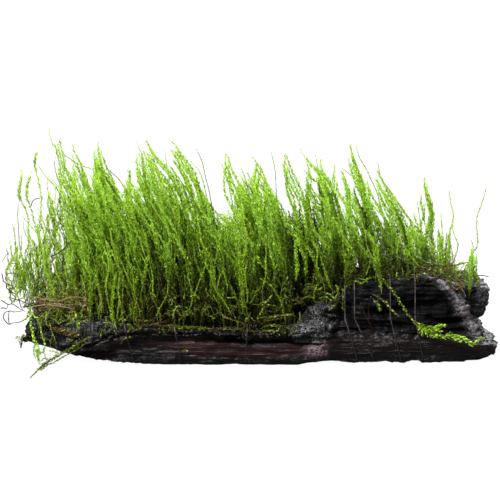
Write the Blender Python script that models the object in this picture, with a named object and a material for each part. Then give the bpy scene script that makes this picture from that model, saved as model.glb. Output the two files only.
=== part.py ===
"""Moss on driftwood, for a planted tank: a dark, split length of driftwood whose top is covered with tall moss shoots,
held by a thin thread that is wound round the wood.

Metres, +Z up. The wood lies along X and rests on its flat underside at z = 0. The origin is on that underside.
The sizes below are in millimetres, and MM turns them into metres where a mesh is made.
"""

import math
import random

import bmesh
import bpy
import numpy as np
from mathutils import Vector, noise
from mathutils.bvhtree import BVHTree

MM = 0.001

# The wood: four layers of one split piece. Each row is (x, front y, back y, lowest z, highest z).
HEART_LAYER = [
    (-60, -10, 10, 4.6, 8.0),
    (-52, -15.5, 15, 1.9, 9.0),
    (-44, -18.4, 16.4, 0.6, 9.4),
    (-40, -19.2, 17, 0, 9.6),
    (-20, -20.2, 18, 0, 9.8),
    (0, -20.5, 18.5, 0, 9.8),
    (20.5, -20.3, 18, 0, 9.6),
    (23, -18.3, 17.5, 0, 9.4),
    (45, -18.6, 17, 0, 9.2),
    (62, -17.5, 15, 0, 8.4),
    (70, -15.5, 11, 0, 6.8),
    (75, -12, 4, 1.4, 4.8),
]
LEFT_CRUST = [
    (-75, -9, 5, 7.6, 10.6),
    (-71, -14, 12, 5.6, 14.4),
    (-64, -18, 16, 5.2, 16.6),
    (-54, -20.2, 18, 5.4, 17.0),
    (-42, -21.2, 19, 6.4, 16.0),
    (-25, -21.6, 19.5, 8.0, 14.6),
    (-5, -21.6, 19.5, 8.4, 13.8),
    (12, -21.4, 19, 8.2, 14.2),
    (21, -20.4, 18, 7.6, 14.6),
    (25.5, -17.5, 16, 7.2, 12.6),
]
RIGHT_CRUST = [
    (15, -8, 12, 7, 14.5),
    (22, -12.5, 15.5, 6, 20.5),
    (30, -15.0, 17, 6, 25.0),
    (42, -15.8, 17, 6, 27.6),
    (53, -15.2, 17, 6, 26.8),
    (61, -13.6, 16, 6, 24.6),
    (67, -11.0, 13, 6.4, 21.0),
    (71.5, -7.5, 9, 7.6, 16.5),
]
END_KNOB = [
    (48, -1, 16, 12.0, 23.4),
    (60, -5.5, 17, 11.8, 23.8),
    (68, -5.5, 16.5, 12.0, 23.0),
    (72.6, -3.0, 14.0, 13.6, 21.0),
]
# Under the wood, (from x, to x) of the shallow hollows where the thread passes between the wood and the table.
UNDERSIDE_HOLLOWS = [(-60, -35), (-29, -19), (-8.8, -1.4), (26, 58)]
HOLLOW_DEPTH = 1.2
HOLLOW_EDGE = 1.4
FLOOR_REACH = 1.0
# The layers' corners are this square, on a superellipse whose flats are a little cut off.
SQUARENESS = 0.42
FLAT_CUT = 1.06
# The bumps of the wood are this long along, across and up the grain. Its ends are broken over a short stretch, in
# splinters this wide and high.
BUMP = Vector((16, 5, 3.2))
BROKEN_STRETCH = 9
SLANTED_STRETCH = 12
SPLINTER = Vector((4, 2.2))

# The thread: (x where a turn comes over the top's front edge, x where it reaches the bottom's front edge).
THREAD_TURNS = [(-52, -52.6), (-42.6, -39), (-27, -24), (-3.6, -4.2), (27, 31.5), (30, 37), (41.2, 45), (49, 52)]
THREAD_RADIUS = 0.16
THREAD_GAP = 0.42
THREAD_END_X = 56
THREAD_LOOK = 1.6
THREAD_SLACK = 0.25
# A section of the wood is measured round this (y, z), in these directions.
SECTION_CENTRE = np.array((0.0, 8.0))
DIRECTIONS = np.radians(np.arange(0, 360, 2))

# The moss: the height of its tips above the table along its length, (x, z).
TIP_HEIGHTS = [
    (-80, 48), (-76, 56), (-70, 69), (-64, 74), (-56, 70), (-50, 70), (-43, 65), (-36, 71), (-28, 71), (-20, 68),
    (-14, 61), (-11, 60), (-8, 66), (0, 66), (6, 68), (14, 67), (22, 64), (28, 70), (34, 66), (39, 63), (44, 52),
    (48, 46), (51, 58), (55, 48), (59, 54), (63, 42), (68, 47), (72, 55), (76, 50),
]
# How far a shoot leans to the right for each millimetre that it rises, by where it stands, (x, lean).
LEANS = [
    (-80, -0.03), (-60, -0.07), (-40, -0.15), (0, -0.18), (30, -0.24), (44, -0.29), (54, -0.16), (62, 0.0), (68, 0.12),
]
# Each clump grows between two turns of the thread: (name, from x, to x, front y, back y, locks in a row).
CLUMPS = [
    ("moss_left_end", -75.6, -52.8, -12, 15, 3),
    ("moss_left", -51.2, -43.4, -14, 16, 1),
    ("moss_left_middle", -41.8, -27.8, -15, 17, 2),
    ("moss_middle_left", -26.2, -4.4, -16, 17, 3),
    ("moss_middle", -2.8, 11.5, -16, 17, 2),
    ("moss_middle_right", 12.5, 26.2, -15, 17, 2),
    ("moss_right", 30.8, 40.4, -11, 15, 2),
    ("moss_right_crest", 42.0, 48.2, -11, 15, 1),
    ("moss_right_end", 49.8, 69.0, -7, 15, 3),
]
# The clumps' low carpet: its gap to the wood, its thickness inside and at its edge, and how far its edge wanders.
MAT_GAP = 0.35
MAT_THICKNESS = 3.0
MAT_EDGE = 1.2
MAT_CELL = 4.2
MAT_WANDER = 1.6
# A lock of shoots, as (share of its height, share of its radius), and how it bends and spreads as it rises.
# Its height is this share or more of what the tips' line asks for.
LOCK_ROWS = 4
SHORTEST_LOCK = 0.88
LOCK_FORM = [(0.0, 0.76), (0.36, 1.0), (0.74, 0.74), (1.0, 0.1)]
LOCK_FILL = 0.47
LOCK_BEND = 1.5
LOCK_SPREAD = 0.14
LOCK_FAN = 0.02
LONGEST_LOCK = 45

# Long shoots that trail over the wood. Each is (name, thickness, points from root to tip), and a point that would be
# inside the wood or the thread is brought to the front of them.
SHOOT_GAP = 0.35
TRAILING_SHOOTS = [
    ("shoot_over_right_face", 0.62, [
        (38.6, -17.4, 24.6), (42.0, -17.8, 22.8), (44.6, -18.0, 19.2), (47.5, -18.0, 15.2), (50.4, -18.6, 12.2),
        (54.8, -19.6, 10.9), (58.8, -20.2, 9.9), (62.8, -20.2, 8.9), (67.0, -19.6, 7.6), (70.4, -18.6, 8.4),
    ]),
    ("shoot_over_left_end", 0.55, [
        (-72.6, -15.2, 15.4), (-72.2, -17.6, 12.8), (-71.6, -18.9, 9.6), (-70.6, -19.4, 6.2), (-69.6, -19.8, 3.2),
        (-69.0, -20.2, 1.0),
    ]),
    ("shoot_on_the_table", 0.55, [
        (-52.5, -20.6, 4.4), (-56.5, -22.4, 3.4), (-61.0, -25.6, 2.2), (-65.5, -30.4, 1.2), (-69.2, -35.6, 0.72),
        (-72.0, -41.0, 0.64),
    ]),
]

COLOURS = {
    "wood": (0.035, 0.03, 0.032, 1.0),
    "moss": (0.22, 0.38, 0.04, 1.0),
    "thread": (0.55, 0.52, 0.5, 1.0),
}
ROUGHNESS = {"wood": 0.55, "moss": 0.6, "thread": 0.35}


def clear_scene():
    for obj in list(bpy.data.objects):
        bpy.data.objects.remove(obj)


def new_collection(name):
    collection = bpy.data.collections.new(name)
    bpy.context.scene.collection.children.link(collection)
    return collection


def material(name):
    """One plain finish of the object, made on first use."""
    found = bpy.data.materials.get(name)
    if found:
        return found
    made = bpy.data.materials.new(name)
    made.use_nodes = True
    made.diffuse_color = COLOURS[name]
    shader = made.node_tree.nodes["Principled BSDF"]
    shader.inputs["Base Color"].default_value = COLOURS[name]
    shader.inputs["Roughness"].default_value = ROUGHNESS[name]
    shader.inputs["Metallic"].default_value = 0.0
    return made


def object_from(mesh, name, collection, finish=None):
    obj = bpy.data.objects.new(name, mesh)
    collection.objects.link(obj)
    if finish:
        mesh.materials.clear()
        mesh.materials.append(material(finish))
    return obj


def as_cutter(obj):
    obj.hide_render = True
    obj.display_type = "WIRE"


def read_off(table, x, column=1):
    """The value of a table's column at x, straight between its rows."""
    return float(np.interp(x, [row[0] for row in table], [row[column] for row in table]))


def underside(x):
    """How far the wood's underside is hollowed out at x, from 0 on a pad to HOLLOW_DEPTH in a hollow."""
    depth = 0.0
    for start, end in UNDERSIDE_HOLLOWS:
        inside = min(x - start, end - x) / HOLLOW_EDGE
        depth = max(depth, min(max(inside, 0.0), 1.0))
    return HOLLOW_DEPTH * depth


def layer_ring(layer, x, sides, roughness, shoulder):
    """One cross-section of a layer: a squared ellipse between the layer's edges, roughened along the grain."""
    front, back, low, high = (read_off(layer, x, column) for column in (1, 2, 3, 4))
    middle = Vector(((front + back) / 2, (low + high) / 2))
    half = Vector(((back - front) / 2, (high - low) / 2))
    ring = []
    for k in range(sides):
        angle = 2 * math.pi * (k + 0.5) / sides
        across, up = -math.cos(angle), math.sin(angle)
        across = math.copysign(abs(across) ** SQUARENESS, across)
        up = math.copysign(min(abs(up) ** SQUARENESS * FLAT_CUT, 1.0), up)
        y, z = middle.x + half.x * across, middle.y + half.y * up
        bump = roughness * noise.fractal(Vector((x / BUMP.x, y / BUMP.y, z / BUMP.z)), 0.9, 2.0, 3)
        on_floor = up <= -1.0 and low < FLOOR_REACH
        if not on_floor:
            z += bump * (1 if up > 0 else 0.4)
        if abs(across) > 0.5:
            y += math.copysign(bump, across)
        if up > 0 and y < middle.x:
            z -= shoulder * (middle.x - y) / half.x * up
        ring.append(Vector((x, y, z)))
    return ring


def stations(first, last, step, marks):
    """Where a layer's rings stand along X: at every mark, and a step apart between the marks."""
    marks = sorted({first, last, *(mark for mark in marks if first < mark < last)})
    places = [first]
    for start, end in zip(marks, marks[1:]):
        count = max(1, round((end - start) / step))
        places += [start + (end - start) * (i + 1) / count for i in range(count)]
    return places


def wood_layer(name, layer, collection, step, sides, roughness, shoulder=0.0, end_slant=0.0, jag=1.6, marks=()):
    """A layer of the wood, lofted along the grain from ring to ring, with broken ends."""
    first, last = layer[0][0], layer[-1][0]
    places = stations(first, last, step, marks)
    points = []
    for x in places:
        ring = layer_ring(layer, x, sides, roughness, shoulder)
        lowest = min(point.z for point in ring)
        for point in ring:
            near_end = max(0.0, 1 - min(x - first, last - x) / BROKEN_STRETCH)
            splinter = noise.noise(Vector((point.y / SPLINTER.x, point.z / SPLINTER.y, first)))
            slant = end_slant * (point.z - lowest) * max(0.0, 1 - (last - x) / SLANTED_STRETCH)
            point.x += jag * splinter * near_end - slant
            if point.z < FLOOR_REACH:
                point.z = underside(x) + max(point.z, 0.0)
        points += ring
    made = bmesh.new()
    vertices = [made.verts.new(point * MM) for point in points]
    rings = [vertices[i * sides:(i + 1) * sides] for i in range(len(places))]
    for one, two in zip(rings, rings[1:]):
        for k in range(sides):
            after = (k + 1) % sides
            made.faces.new((one[k], two[k], two[after], one[after]))
    for ring, inward in ((rings[0], 1), (rings[-1], -1)):
        centre = sum((vertex.co for vertex in ring), Vector()) / sides
        hub = made.verts.new(centre + Vector((inward * jag / 2 * MM, 0, 0)))
        for k in range(sides):
            made.faces.new((ring[k], ring[(k + 1) % sides], hub))
    bmesh.ops.recalc_face_normals(made, faces=made.faces)
    mesh = bpy.data.meshes.new(name)
    made.to_mesh(mesh)
    made.free()
    return object_from(mesh, name, collection)


def build_driftwood(parts, helpers):
    """The wood is one piece, so its layers are joined. MANIFOLD joins them where EXACT leaves nothing."""
    edges = [x for start, end in UNDERSIDE_HOLLOWS for x in (start, start + HOLLOW_EDGE, end - HOLLOW_EDGE, end)]
    heart = wood_layer("heart_layer", HEART_LAYER, helpers, step=6.5, sides=20, roughness=0.55, jag=1.5, marks=edges)
    layers = [
        wood_layer("left_crust", LEFT_CRUST, helpers, step=4.4, sides=20, roughness=1.9, shoulder=3.4),
        wood_layer("right_crust", RIGHT_CRUST, helpers, step=4.0, sides=22, roughness=1.9, end_slant=0.55),
        wood_layer("end_knob", END_KNOB, helpers, step=4.0, sides=16, roughness=1.2, jag=0.8),
    ]
    for layer in layers:
        as_cutter(layer)
        union = heart.modifiers.new("join " + layer.name, "BOOLEAN")
        union.solver = "MANIFOLD"
        union.operation = "UNION"
        union.object = layer
    as_cutter(heart)
    graph = bpy.context.evaluated_depsgraph_get()
    mesh = bpy.data.meshes.new_from_object(heart.evaluated_get(graph))
    mesh.name = "driftwood"
    wood = object_from(mesh, "driftwood", parts, "wood")
    mesh.shade_smooth()
    mesh.set_sharp_from_angle(angle=math.radians(35))
    return wood


def tree_of(obj):
    mesh = obj.data
    corners = [vertex.co / MM for vertex in mesh.vertices]
    return BVHTree.FromPolygons(corners, [tuple(face.vertices) for face in mesh.polygons])


def top_of(tree, x, y):
    """The wood's highest point round (x, y), or beside the wood that of its nearest part, in millimetres."""
    reach = 0.6 * MAT_CELL
    for inwards in np.linspace(0, 0.5, 11):
        heights = []
        for dx in (-reach, 0, reach):
            for dy in (-reach, 0, reach):
                start = Vector((x * (1 - 0.3 * inwards) + dx, y * (1 - inwards) + dy, 100))
                hit = tree.ray_cast(start, Vector((0, 0, -1)))[0]
                if hit is not None:
                    heights.append(hit.z)
        if heights:
            return max(heights)
    raise ValueError(f"there is no wood near x {x:.1f}, y {y:.1f}")


def slice_of(corners, triangles, x):
    """The (y, z) points where the plane at x cuts the wood's edges."""
    ends = np.concatenate([triangles[:, [0, 1]], triangles[:, [1, 2]], triangles[:, [2, 0]]])
    one, two = corners[ends[:, 0]], corners[ends[:, 1]]
    cut = (one[:, 0] - x) * (two[:, 0] - x) < 0
    one, two = one[cut], two[cut]
    share = ((x - one[:, 0]) / (two[:, 0] - one[:, 0]))[:, None]
    return (one + (two - one) * share)[:, 1:]


def taut_outline(corners, triangles, x):
    """The outline that a taut thread takes round the wood near x, as how far off it stands in each of DIRECTIONS.

    It is convex: the straight lines that only touch the wood's section, each with its normal in one of DIRECTIONS and
    as far off as the section's farthest point."""
    normals = np.stack([np.cos(DIRECTIONS), np.sin(DIRECTIONS)])
    sections = [slice_of(corners, triangles, near) for near in (x - THREAD_LOOK, x, x + THREAD_LOOK)]
    farthest = [((section - SECTION_CENTRE) @ normals).max(axis=0) for section in sections if len(section)]
    return np.max(farthest, axis=0) + THREAD_GAP + THREAD_RADIUS


def reach_of(outline, angle):
    """How far from the section's centre the outline is at an angle."""
    facing = np.cos(angle - DIRECTIONS)
    return (outline[facing > 0.05] / facing[facing > 0.05]).min()


def front_of(outline, z):
    """The y where the outline's front is at a height."""
    across, up = np.cos(DIRECTIONS), np.sin(DIRECTIONS)
    ahead = across < -0.05
    fronts = (outline[ahead] - up[ahead] * (z - SECTION_CENTRE[1])) / across[ahead]
    return SECTION_CENTRE[0] + fronts.max()


def thread_course():
    """Where along X the thread is at each angle round the wood, for all its turns: (angles, xs).

    Angles grow from the back over the top to the front: 90 degrees is the top, 180 the front, 270 underneath."""
    knots = []
    for i, (over_top, at_bottom) in enumerate(THREAD_TURNS):
        turn = 360 * i
        knots += [(turn + 12, over_top), (turn + 160, over_top), (turn + 205, at_bottom), (turn + 335, at_bottom)]
    knots += [(360 * len(THREAD_TURNS) + 5, THREAD_END_X)]
    angles = np.arange(knots[0][0], knots[-1][0], 4.0)
    return angles, np.interp(angles, [k[0] for k in knots], [k[1] for k in knots])


def simplified(points, tolerance):
    """The points of a path without those that lie within tolerance of a straight run between others."""
    if len(points) < 3:
        return points
    start, run = points[0], points[-1] - points[0]
    length = max(run.length, 1e-9)
    off = [((point - start).cross(run)).length / length for point in points]
    far = int(np.argmax(off))
    if off[far] <= tolerance:
        return [points[0], points[-1]]
    return simplified(points[:far + 1], tolerance)[:-1] + simplified(points[far:], tolerance)


def tube_curve(name, points, radii, collection, resolution):
    """A round tube through the points, in millimetres, with a radius at each."""
    curve = bpy.data.curves.new(name, "CURVE")
    curve.dimensions = "3D"
    curve.bevel_depth = MM
    curve.bevel_resolution = resolution
    curve.use_fill_caps = True
    spline = curve.splines.new("POLY")
    spline.points.add(len(points) - 1)
    for spot, point, radius in zip(spline.points, points, radii):
        spot.co = (*(Vector(point) * MM), 1)
        spot.radius = radius
    return object_from(curve, name, collection)


def solid_from(curve_object, name, collection, finish=None):
    """The curve's tube as one closed mesh, in the curve's place."""
    graph = bpy.context.evaluated_depsgraph_get()
    mesh = bpy.data.meshes.new_from_object(curve_object.evaluated_get(graph))
    mesh.name = name
    welded = bmesh.new()
    welded.from_mesh(mesh)
    bmesh.ops.remove_doubles(welded, verts=welded.verts, dist=0.01 * MM)
    bmesh.ops.recalc_face_normals(welded, faces=welded.faces)
    welded.to_mesh(mesh)
    welded.free()
    bpy.data.objects.remove(curve_object)
    return object_from(mesh, name, collection, finish)


def corners_and_triangles(obj):
    """The corners of an object's mesh, in millimetres, and its triangles."""
    corners = np.array([vertex.co for vertex in obj.data.vertices]) / MM
    obj.data.calc_loop_triangles()
    return corners, np.array([tuple(face.vertices) for face in obj.data.loop_triangles])


def build_thread(corners, triangles, parts):
    """One thin thread, wound round wood and moss, that lies taut from ridge to ridge of the wood."""
    angles, xs = thread_course()
    points = []
    for angle, x in zip(np.radians(angles), xs):
        reach = reach_of(taut_outline(corners, triangles, x), angle)
        y, z = SECTION_CENTRE + reach * np.array((math.cos(angle), math.sin(angle)))
        points.append(Vector((x, y, z)))
    points = simplified(points, THREAD_SLACK)
    curve = tube_curve("binding_thread", points, [THREAD_RADIUS] * len(points), parts, resolution=2)
    curve.data.materials.append(material("thread"))
    return curve


def build_mat(name, box, tree, collection):
    """The low carpet that the shoots grow from: it follows the wood's top with a small gap under it."""
    left, right, front, back = box
    columns = max(2, round((right - left) / MAT_CELL))
    rows = max(2, round((back - front) / MAT_CELL))
    made = bmesh.new()
    bmesh.ops.create_grid(made, x_segments=columns, y_segments=rows, size=0.5)
    thicknesses = {}
    for vertex in made.verts:
        along, across = 2 * vertex.co.x, 2 * vertex.co.y
        on_edge = max(abs(along), abs(across)) > 0.999
        x = (left + right) / 2 + (right - left) / 2 * along
        wander = MAT_WANDER * (noise.noise(Vector((x / 5, 3 * across, 0))) - 0.6 * along ** 4) * across
        y = (front + back) / 2 + (back - front) / 2 * across + wander
        vertex.co = Vector((x, y, top_of(tree, x, y) + MAT_GAP))
        lump = noise.noise(Vector((x / 4, y / 4, 0)))
        thicknesses[round(x, 3), round(y, 3)] = MAT_EDGE if on_edge else MAT_THICKNESS + lump
    upper = bmesh.ops.extrude_face_region(made, geom=list(made.faces))["geom"]
    for vertex in upper:
        if isinstance(vertex, bmesh.types.BMVert):
            vertex.co.z += thicknesses[round(vertex.co.x, 3), round(vertex.co.y, 3)]
    bmesh.ops.recalc_face_normals(made, faces=made.faces)
    bmesh.ops.scale(made, vec=(MM, MM, MM), verts=made.verts)
    mesh = bpy.data.meshes.new(name)
    made.to_mesh(mesh)
    made.free()
    return object_from(mesh, name, collection, "moss")


def lock_points(foot, height, fan, chance):
    """A lock of shoots from its foot to its tip: it leans more and more, the way that the moss leans there."""
    lean = read_off(LEANS, foot.x) + fan + chance.uniform(-0.015, 0.015)
    spread = LOCK_SPREAD * foot.y / 16 + chance.uniform(-0.03, 0.03)
    return [foot + height * Vector((lean * s ** LOCK_BEND, spread * s ** LOCK_BEND, s)) for s, _ in LOCK_FORM]


def build_clump(clump, tree, parts, helpers):
    """One clump of moss: its carpet and its tall locks, grown together."""
    name, left, right, front, back, per_row = clump
    chance = random.Random(name)
    mat = build_mat(name, (left, right, front, back), tree, parts)
    locks = new_collection(name + "_locks")
    helpers.children.link(locks)
    bpy.context.scene.collection.children.unlink(locks)
    pitch = (right - left) / per_row
    for row in range(LOCK_ROWS):
        for column in range(per_row):
            across = column + 0.5 + chance.uniform(-0.02, 0.02)
            x = left + pitch * across
            radius = min(pitch * LOCK_FILL, 0.6 * (back - front) / LOCK_ROWS) * chance.uniform(0.86, 1.0)
            y = front + radius + (back - front - 2 * radius) * (row + chance.uniform(-0.12, 0.12)) / (LOCK_ROWS - 1)
            foot = Vector((x, y, top_of(tree, x, y) + MAT_GAP + 0.8))
            tip_height = read_off(TIP_HEIGHTS, x + read_off(LEANS, x) * LONGEST_LOCK)
            height = (tip_height - foot.z) * chance.uniform(SHORTEST_LOCK, 1.0)
            fan = LOCK_FAN * (2 * across / per_row - 1)
            points = lock_points(foot, height, fan, chance)
            curve = tube_curve("lock", points, [radius * share for _, share in LOCK_FORM], locks, resolution=1)
            as_cutter(solid_from(curve, f"{name}_lock_{row}_{column}", locks))
    return mat, locks


def join_locks(mat, locks):
    union = mat.modifiers.new("join locks", "BOOLEAN")
    union.operation = "UNION"
    union.operand_type = "COLLECTION"
    union.collection = locks


def build_trailing_shoot(shoot, corners, triangles, parts):
    """One long shoot of moss that trails over the wood or onto the table."""
    name, thickness, route = shoot
    radii = [thickness * (1 - 0.55 * k / (len(route) - 1)) for k in range(len(route))]
    clear = THREAD_RADIUS + SHOOT_GAP + thickness
    points = []
    for x, y, z in route:
        front = front_of(taut_outline(corners, triangles, x), z)
        points.append(Vector((x, min(y, front - clear), z)))
    curve = tube_curve(name, points, radii, parts, resolution=1)
    curve.data.materials.append(material("moss"))
    return curve


def main():
    clear_scene()
    parts = new_collection("moss_on_driftwood")
    helpers = new_collection("helpers")
    wood = build_driftwood(parts, helpers)
    tree = tree_of(wood)
    corners, triangles = corners_and_triangles(wood)
    build_thread(corners, triangles, parts)
    clumps = [build_clump(clump, tree, parts, helpers) for clump in CLUMPS]
    for shoot in TRAILING_SHOOTS:
        build_trailing_shoot(shoot, corners, triangles, parts)
    for mat, locks in clumps:
        join_locks(mat, locks)


main()
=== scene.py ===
# %% [markdown]
# # Moss on driftwood
#
# A low, split length of dark driftwood lies on a table. Its top is covered with tall, fine moss, which a
# thin thread holds down. The solids of the wood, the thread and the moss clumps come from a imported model,
# the frame. This lesson dresses them: it gives the wood its grain and crust, grows the moss shoot by shoot
# with numpy, and lights the whole thing softly on a white floor. Lengths are in millimetres until a mesh is
# made, because moss is small.

# %% Load the frame
import math

import bmesh
import bpy
import numpy as np
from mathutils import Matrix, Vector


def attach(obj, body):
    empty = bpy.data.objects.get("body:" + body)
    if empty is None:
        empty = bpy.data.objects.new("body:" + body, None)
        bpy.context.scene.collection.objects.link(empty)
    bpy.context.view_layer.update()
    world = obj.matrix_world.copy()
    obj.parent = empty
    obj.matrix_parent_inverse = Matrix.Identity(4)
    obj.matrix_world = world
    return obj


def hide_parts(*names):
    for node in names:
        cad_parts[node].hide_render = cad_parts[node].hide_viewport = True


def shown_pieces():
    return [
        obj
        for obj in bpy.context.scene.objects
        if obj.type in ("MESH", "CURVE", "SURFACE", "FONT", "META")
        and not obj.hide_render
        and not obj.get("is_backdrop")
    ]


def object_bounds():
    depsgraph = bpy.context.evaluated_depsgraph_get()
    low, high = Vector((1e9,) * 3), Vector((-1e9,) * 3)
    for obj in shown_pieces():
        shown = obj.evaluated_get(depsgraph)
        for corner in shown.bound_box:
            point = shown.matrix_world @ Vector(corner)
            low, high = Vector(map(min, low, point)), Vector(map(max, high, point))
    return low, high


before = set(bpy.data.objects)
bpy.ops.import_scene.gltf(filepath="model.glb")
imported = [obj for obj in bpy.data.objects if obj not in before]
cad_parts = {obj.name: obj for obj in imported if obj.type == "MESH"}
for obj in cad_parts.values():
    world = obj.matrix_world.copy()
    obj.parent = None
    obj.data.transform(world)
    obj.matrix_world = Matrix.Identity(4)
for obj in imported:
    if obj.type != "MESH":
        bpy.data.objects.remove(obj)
cad_low, cad_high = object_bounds()
MM = 0.001
print("the solids span", [round((high - low) / MM, 1) for low, high in zip(cad_low, cad_high)], "mm")

# %% [markdown]
# ## Where the photograph was taken from
#
# The photograph is 500 pixels square, and one of its pixels spans 0.314 mm of the wood. The camera looks
# along +Y, ten degrees down, through a long lens. A camera could be placed by eye, but some shoots have to
# stand where the photograph shows them, so the view is worked out once, as a rule that turns a pixel into a
# place and back. The same numbers then set up Blender's camera.

# %% The view as a rule
PHOTO_SIZE = 500
PIXEL_MM = 0.314
VIEW_DOWN = math.radians(10)
VIEW_DISTANCE = 750.0
MIDDLE_COLUMN = 259
FOOT_ROW = 365
FOOT_Y = -20.0

VIEW_FORWARD = np.array((0.0, math.cos(VIEW_DOWN), -math.sin(VIEW_DOWN)))
VIEW_RIGHT = np.array((1.0, 0.0, 0.0))
VIEW_UP = np.array((0.0, math.sin(VIEW_DOWN), math.cos(VIEW_DOWN)))
half_photo = PHOTO_SIZE / 2
aim = (
    VIEW_RIGHT * (half_photo - MIDDLE_COLUMN) * PIXEL_MM
    + VIEW_UP * (FOOT_ROW - half_photo) * PIXEL_MM
    + np.array((0.0, FOOT_Y, 0.0))
)
view_from = aim - VIEW_FORWARD * VIEW_DISTANCE


def from_photo(column, row, y):
    """The place at depth y that a pixel shows: the pixel's ray is followed until it meets that plane."""
    column, row, y = np.broadcast_arrays(*(np.asarray(value, float) for value in (column, row, y)))
    across = ((column - half_photo) * PIXEL_MM)[..., None] * VIEW_RIGHT
    upward = ((half_photo - row) * PIXEL_MM)[..., None] * VIEW_UP
    ray = VIEW_FORWARD * VIEW_DISTANCE + across + upward
    share = (y - view_from[1]) / ray[..., 1]
    return view_from + ray * share[..., None]


def to_photo(points):
    """The (column, row) where the photograph shows each place: offset over distance, times the lens."""
    offset = points - view_from
    scale = VIEW_DISTANCE / (offset @ VIEW_FORWARD) / PIXEL_MM
    return half_photo + offset @ VIEW_RIGHT * scale, half_photo - offset @ VIEW_UP * scale


print("the camera stands at", view_from.round(1), "mm")

# %% Camera
camera = bpy.data.objects.new("camera", bpy.data.cameras.new("camera"))
bpy.context.scene.collection.objects.link(camera)
bpy.context.scene.camera = camera
camera.location = view_from * MM
camera.rotation_euler = (math.pi / 2 - VIEW_DOWN, 0, 0)
camera.data.sensor_width = 36
camera.data.lens = camera.data.sensor_width * VIEW_DISTANCE / (PHOTO_SIZE * PIXEL_MM)
camera.data.clip_start = 0.01
print("lens", round(camera.data.lens, 1), "mm")

# %% [markdown]
# ## Floor and light
#
# The moss was shot on white. Light from behind and above makes its tips glow, while the side towards the
# camera is darker, so that wet wood stays black but for its glints. The camera sees a white sky and floor
# in every direction, but the sky lights the moss mostly from above and behind. A lamp in front, high on the
# left, brings out the wet grain.

# %% Short ways to write nodes
def add_node(tree, kind, settings=None, **inputs):
    """A node with its settings, whose inputs are set to numbers or joined to other nodes' outputs.

    In the name of an input, _ stands for a space, and _0 or _1 is the input's own number.
    """
    node = tree.nodes.new(kind)
    for name, value in (settings or {}).items():
        setattr(node, name, value)
    for name, value in inputs.items():
        socket = node.inputs[int(name[1:])] if name[1:].isdigit() else node.inputs[name.replace("_", " ")]
        if isinstance(value, bpy.types.NodeSocket):
            tree.links.new(value, socket)
        else:
            socket.default_value = value
    return node


def blend_colours(tree, share, first, second):
    """The first colour where share is 0 and the second where it is 1: colours or nodes' outputs."""
    node = tree.nodes.new("ShaderNodeMix")
    node.data_type = "RGBA"
    for socket, value in ((node.inputs[0], share), (node.inputs[6], first), (node.inputs[7], second)):
        if isinstance(value, bpy.types.NodeSocket):
            tree.links.new(value, socket)
        else:
            socket.default_value = value if isinstance(value, float) else (*value, 1)
    return node.outputs[2]


def ramp(tree, share, stops):
    """A colour or grey that runs through the (place, value) stops as share goes from 0 to 1."""
    node = tree.nodes.new("ShaderNodeValToRGB")
    tree.links.new(share, node.inputs[0])
    band = node.color_ramp.elements
    while len(band) < len(stops):
        band.new(1.0)
    for element, (place, value) in zip(band, stops):
        element.position = place
        element.color = (value, value, value, 1) if isinstance(value, (int, float)) else (*value, 1)
    return node.outputs[0]


def empty_material(name):
    """A node material with nothing in it but its output, and its tree."""
    material = bpy.data.materials.new(name)
    material.use_nodes = True
    material.node_tree.nodes.clear()
    material.node_tree.nodes.new("ShaderNodeOutputMaterial")
    return material, material.node_tree


def to_output(tree, shader):
    """Joins a shader to the output of its material."""
    tree.links.new(shader, tree.nodes["Material Output"].inputs["Surface"])


def math_node(tree, operation, first, second):
    """The result of one sum on two numbers or outputs, such as MULTIPLY or MAXIMUM."""
    return add_node(tree, "ShaderNodeMath", {"operation": operation}, _0=first, _1=second).outputs[0]


def noise_node(tree, place, scale, detail, roughness=0.5):
    """Noise whose bumps are about 1 / scale metres wide, as a grey from 0 to 1."""
    node = add_node(tree, "ShaderNodeTexNoise", Vector=place, Scale=scale, Detail=detail, Roughness=roughness)
    return node.outputs["Fac"]


def bump_node(tree, strength, distance, height, **normal_below):
    """A normal tilted by a height, where a height of 1 stands for the distance in metres."""
    settings = {"Strength": strength, "Distance": distance, "Height": height}
    return add_node(tree, "ShaderNodeBump", **settings, **normal_below).outputs["Normal"]


print("node helpers ready")

# %% Floor
FLOOR_HALF = 4.0
SQUARE = ((-1, -1), (1, -1), (1, 1), (-1, 1))
# The camera sees the floor glow white, and the object gets only a little light from it.
FLOOR_GLOW = 0.97
FLOOR_SEEN = 0.03
FLOOR_BOUNCE = 0.12

floor_mesh = bpy.data.meshes.new("floor")
floor_mesh.from_pydata([(i * FLOOR_HALF, j * FLOOR_HALF, 0) for i, j in SQUARE], [], [(0, 1, 2, 3)])
floor = bpy.data.objects.new("floor", floor_mesh)
bpy.context.scene.collection.objects.link(floor)
floor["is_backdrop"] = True
white = bpy.data.materials.new("white_floor")
white.use_nodes = True
tree = white.node_tree
paint = tree.nodes["Principled BSDF"]
paint.inputs["Roughness"].default_value = 0.9
paint.inputs["Specular IOR Level"].default_value = 0.1
paint.inputs["Emission Color"].default_value = (1, 1, 1, 1)
seen = add_node(tree, "ShaderNodeLightPath").outputs["Is Camera Ray"]
tree.links.new(ramp(tree, seen, [(0.0, 0.0), (1.0, FLOOR_GLOW)]), paint.inputs["Emission Strength"])
tree.links.new(ramp(tree, seen, [(0.0, FLOOR_BOUNCE), (1.0, FLOOR_SEEN)]), paint.inputs["Base Color"])
floor_mesh.materials.append(white)
print("the floor is", 2 * FLOOR_HALF, "m wide")

# %% Sky and lamps
# The sky is brightest towards this direction, above and behind the moss.
LIGHT_SIDE = (0.0, 0.4, 0.3)
SKY_WHITE = (0.92, 0.92, 0.92)
SKY_STRENGTH = 1.1
MIDDLE = (0.0, 0.0, 0.03)


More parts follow.
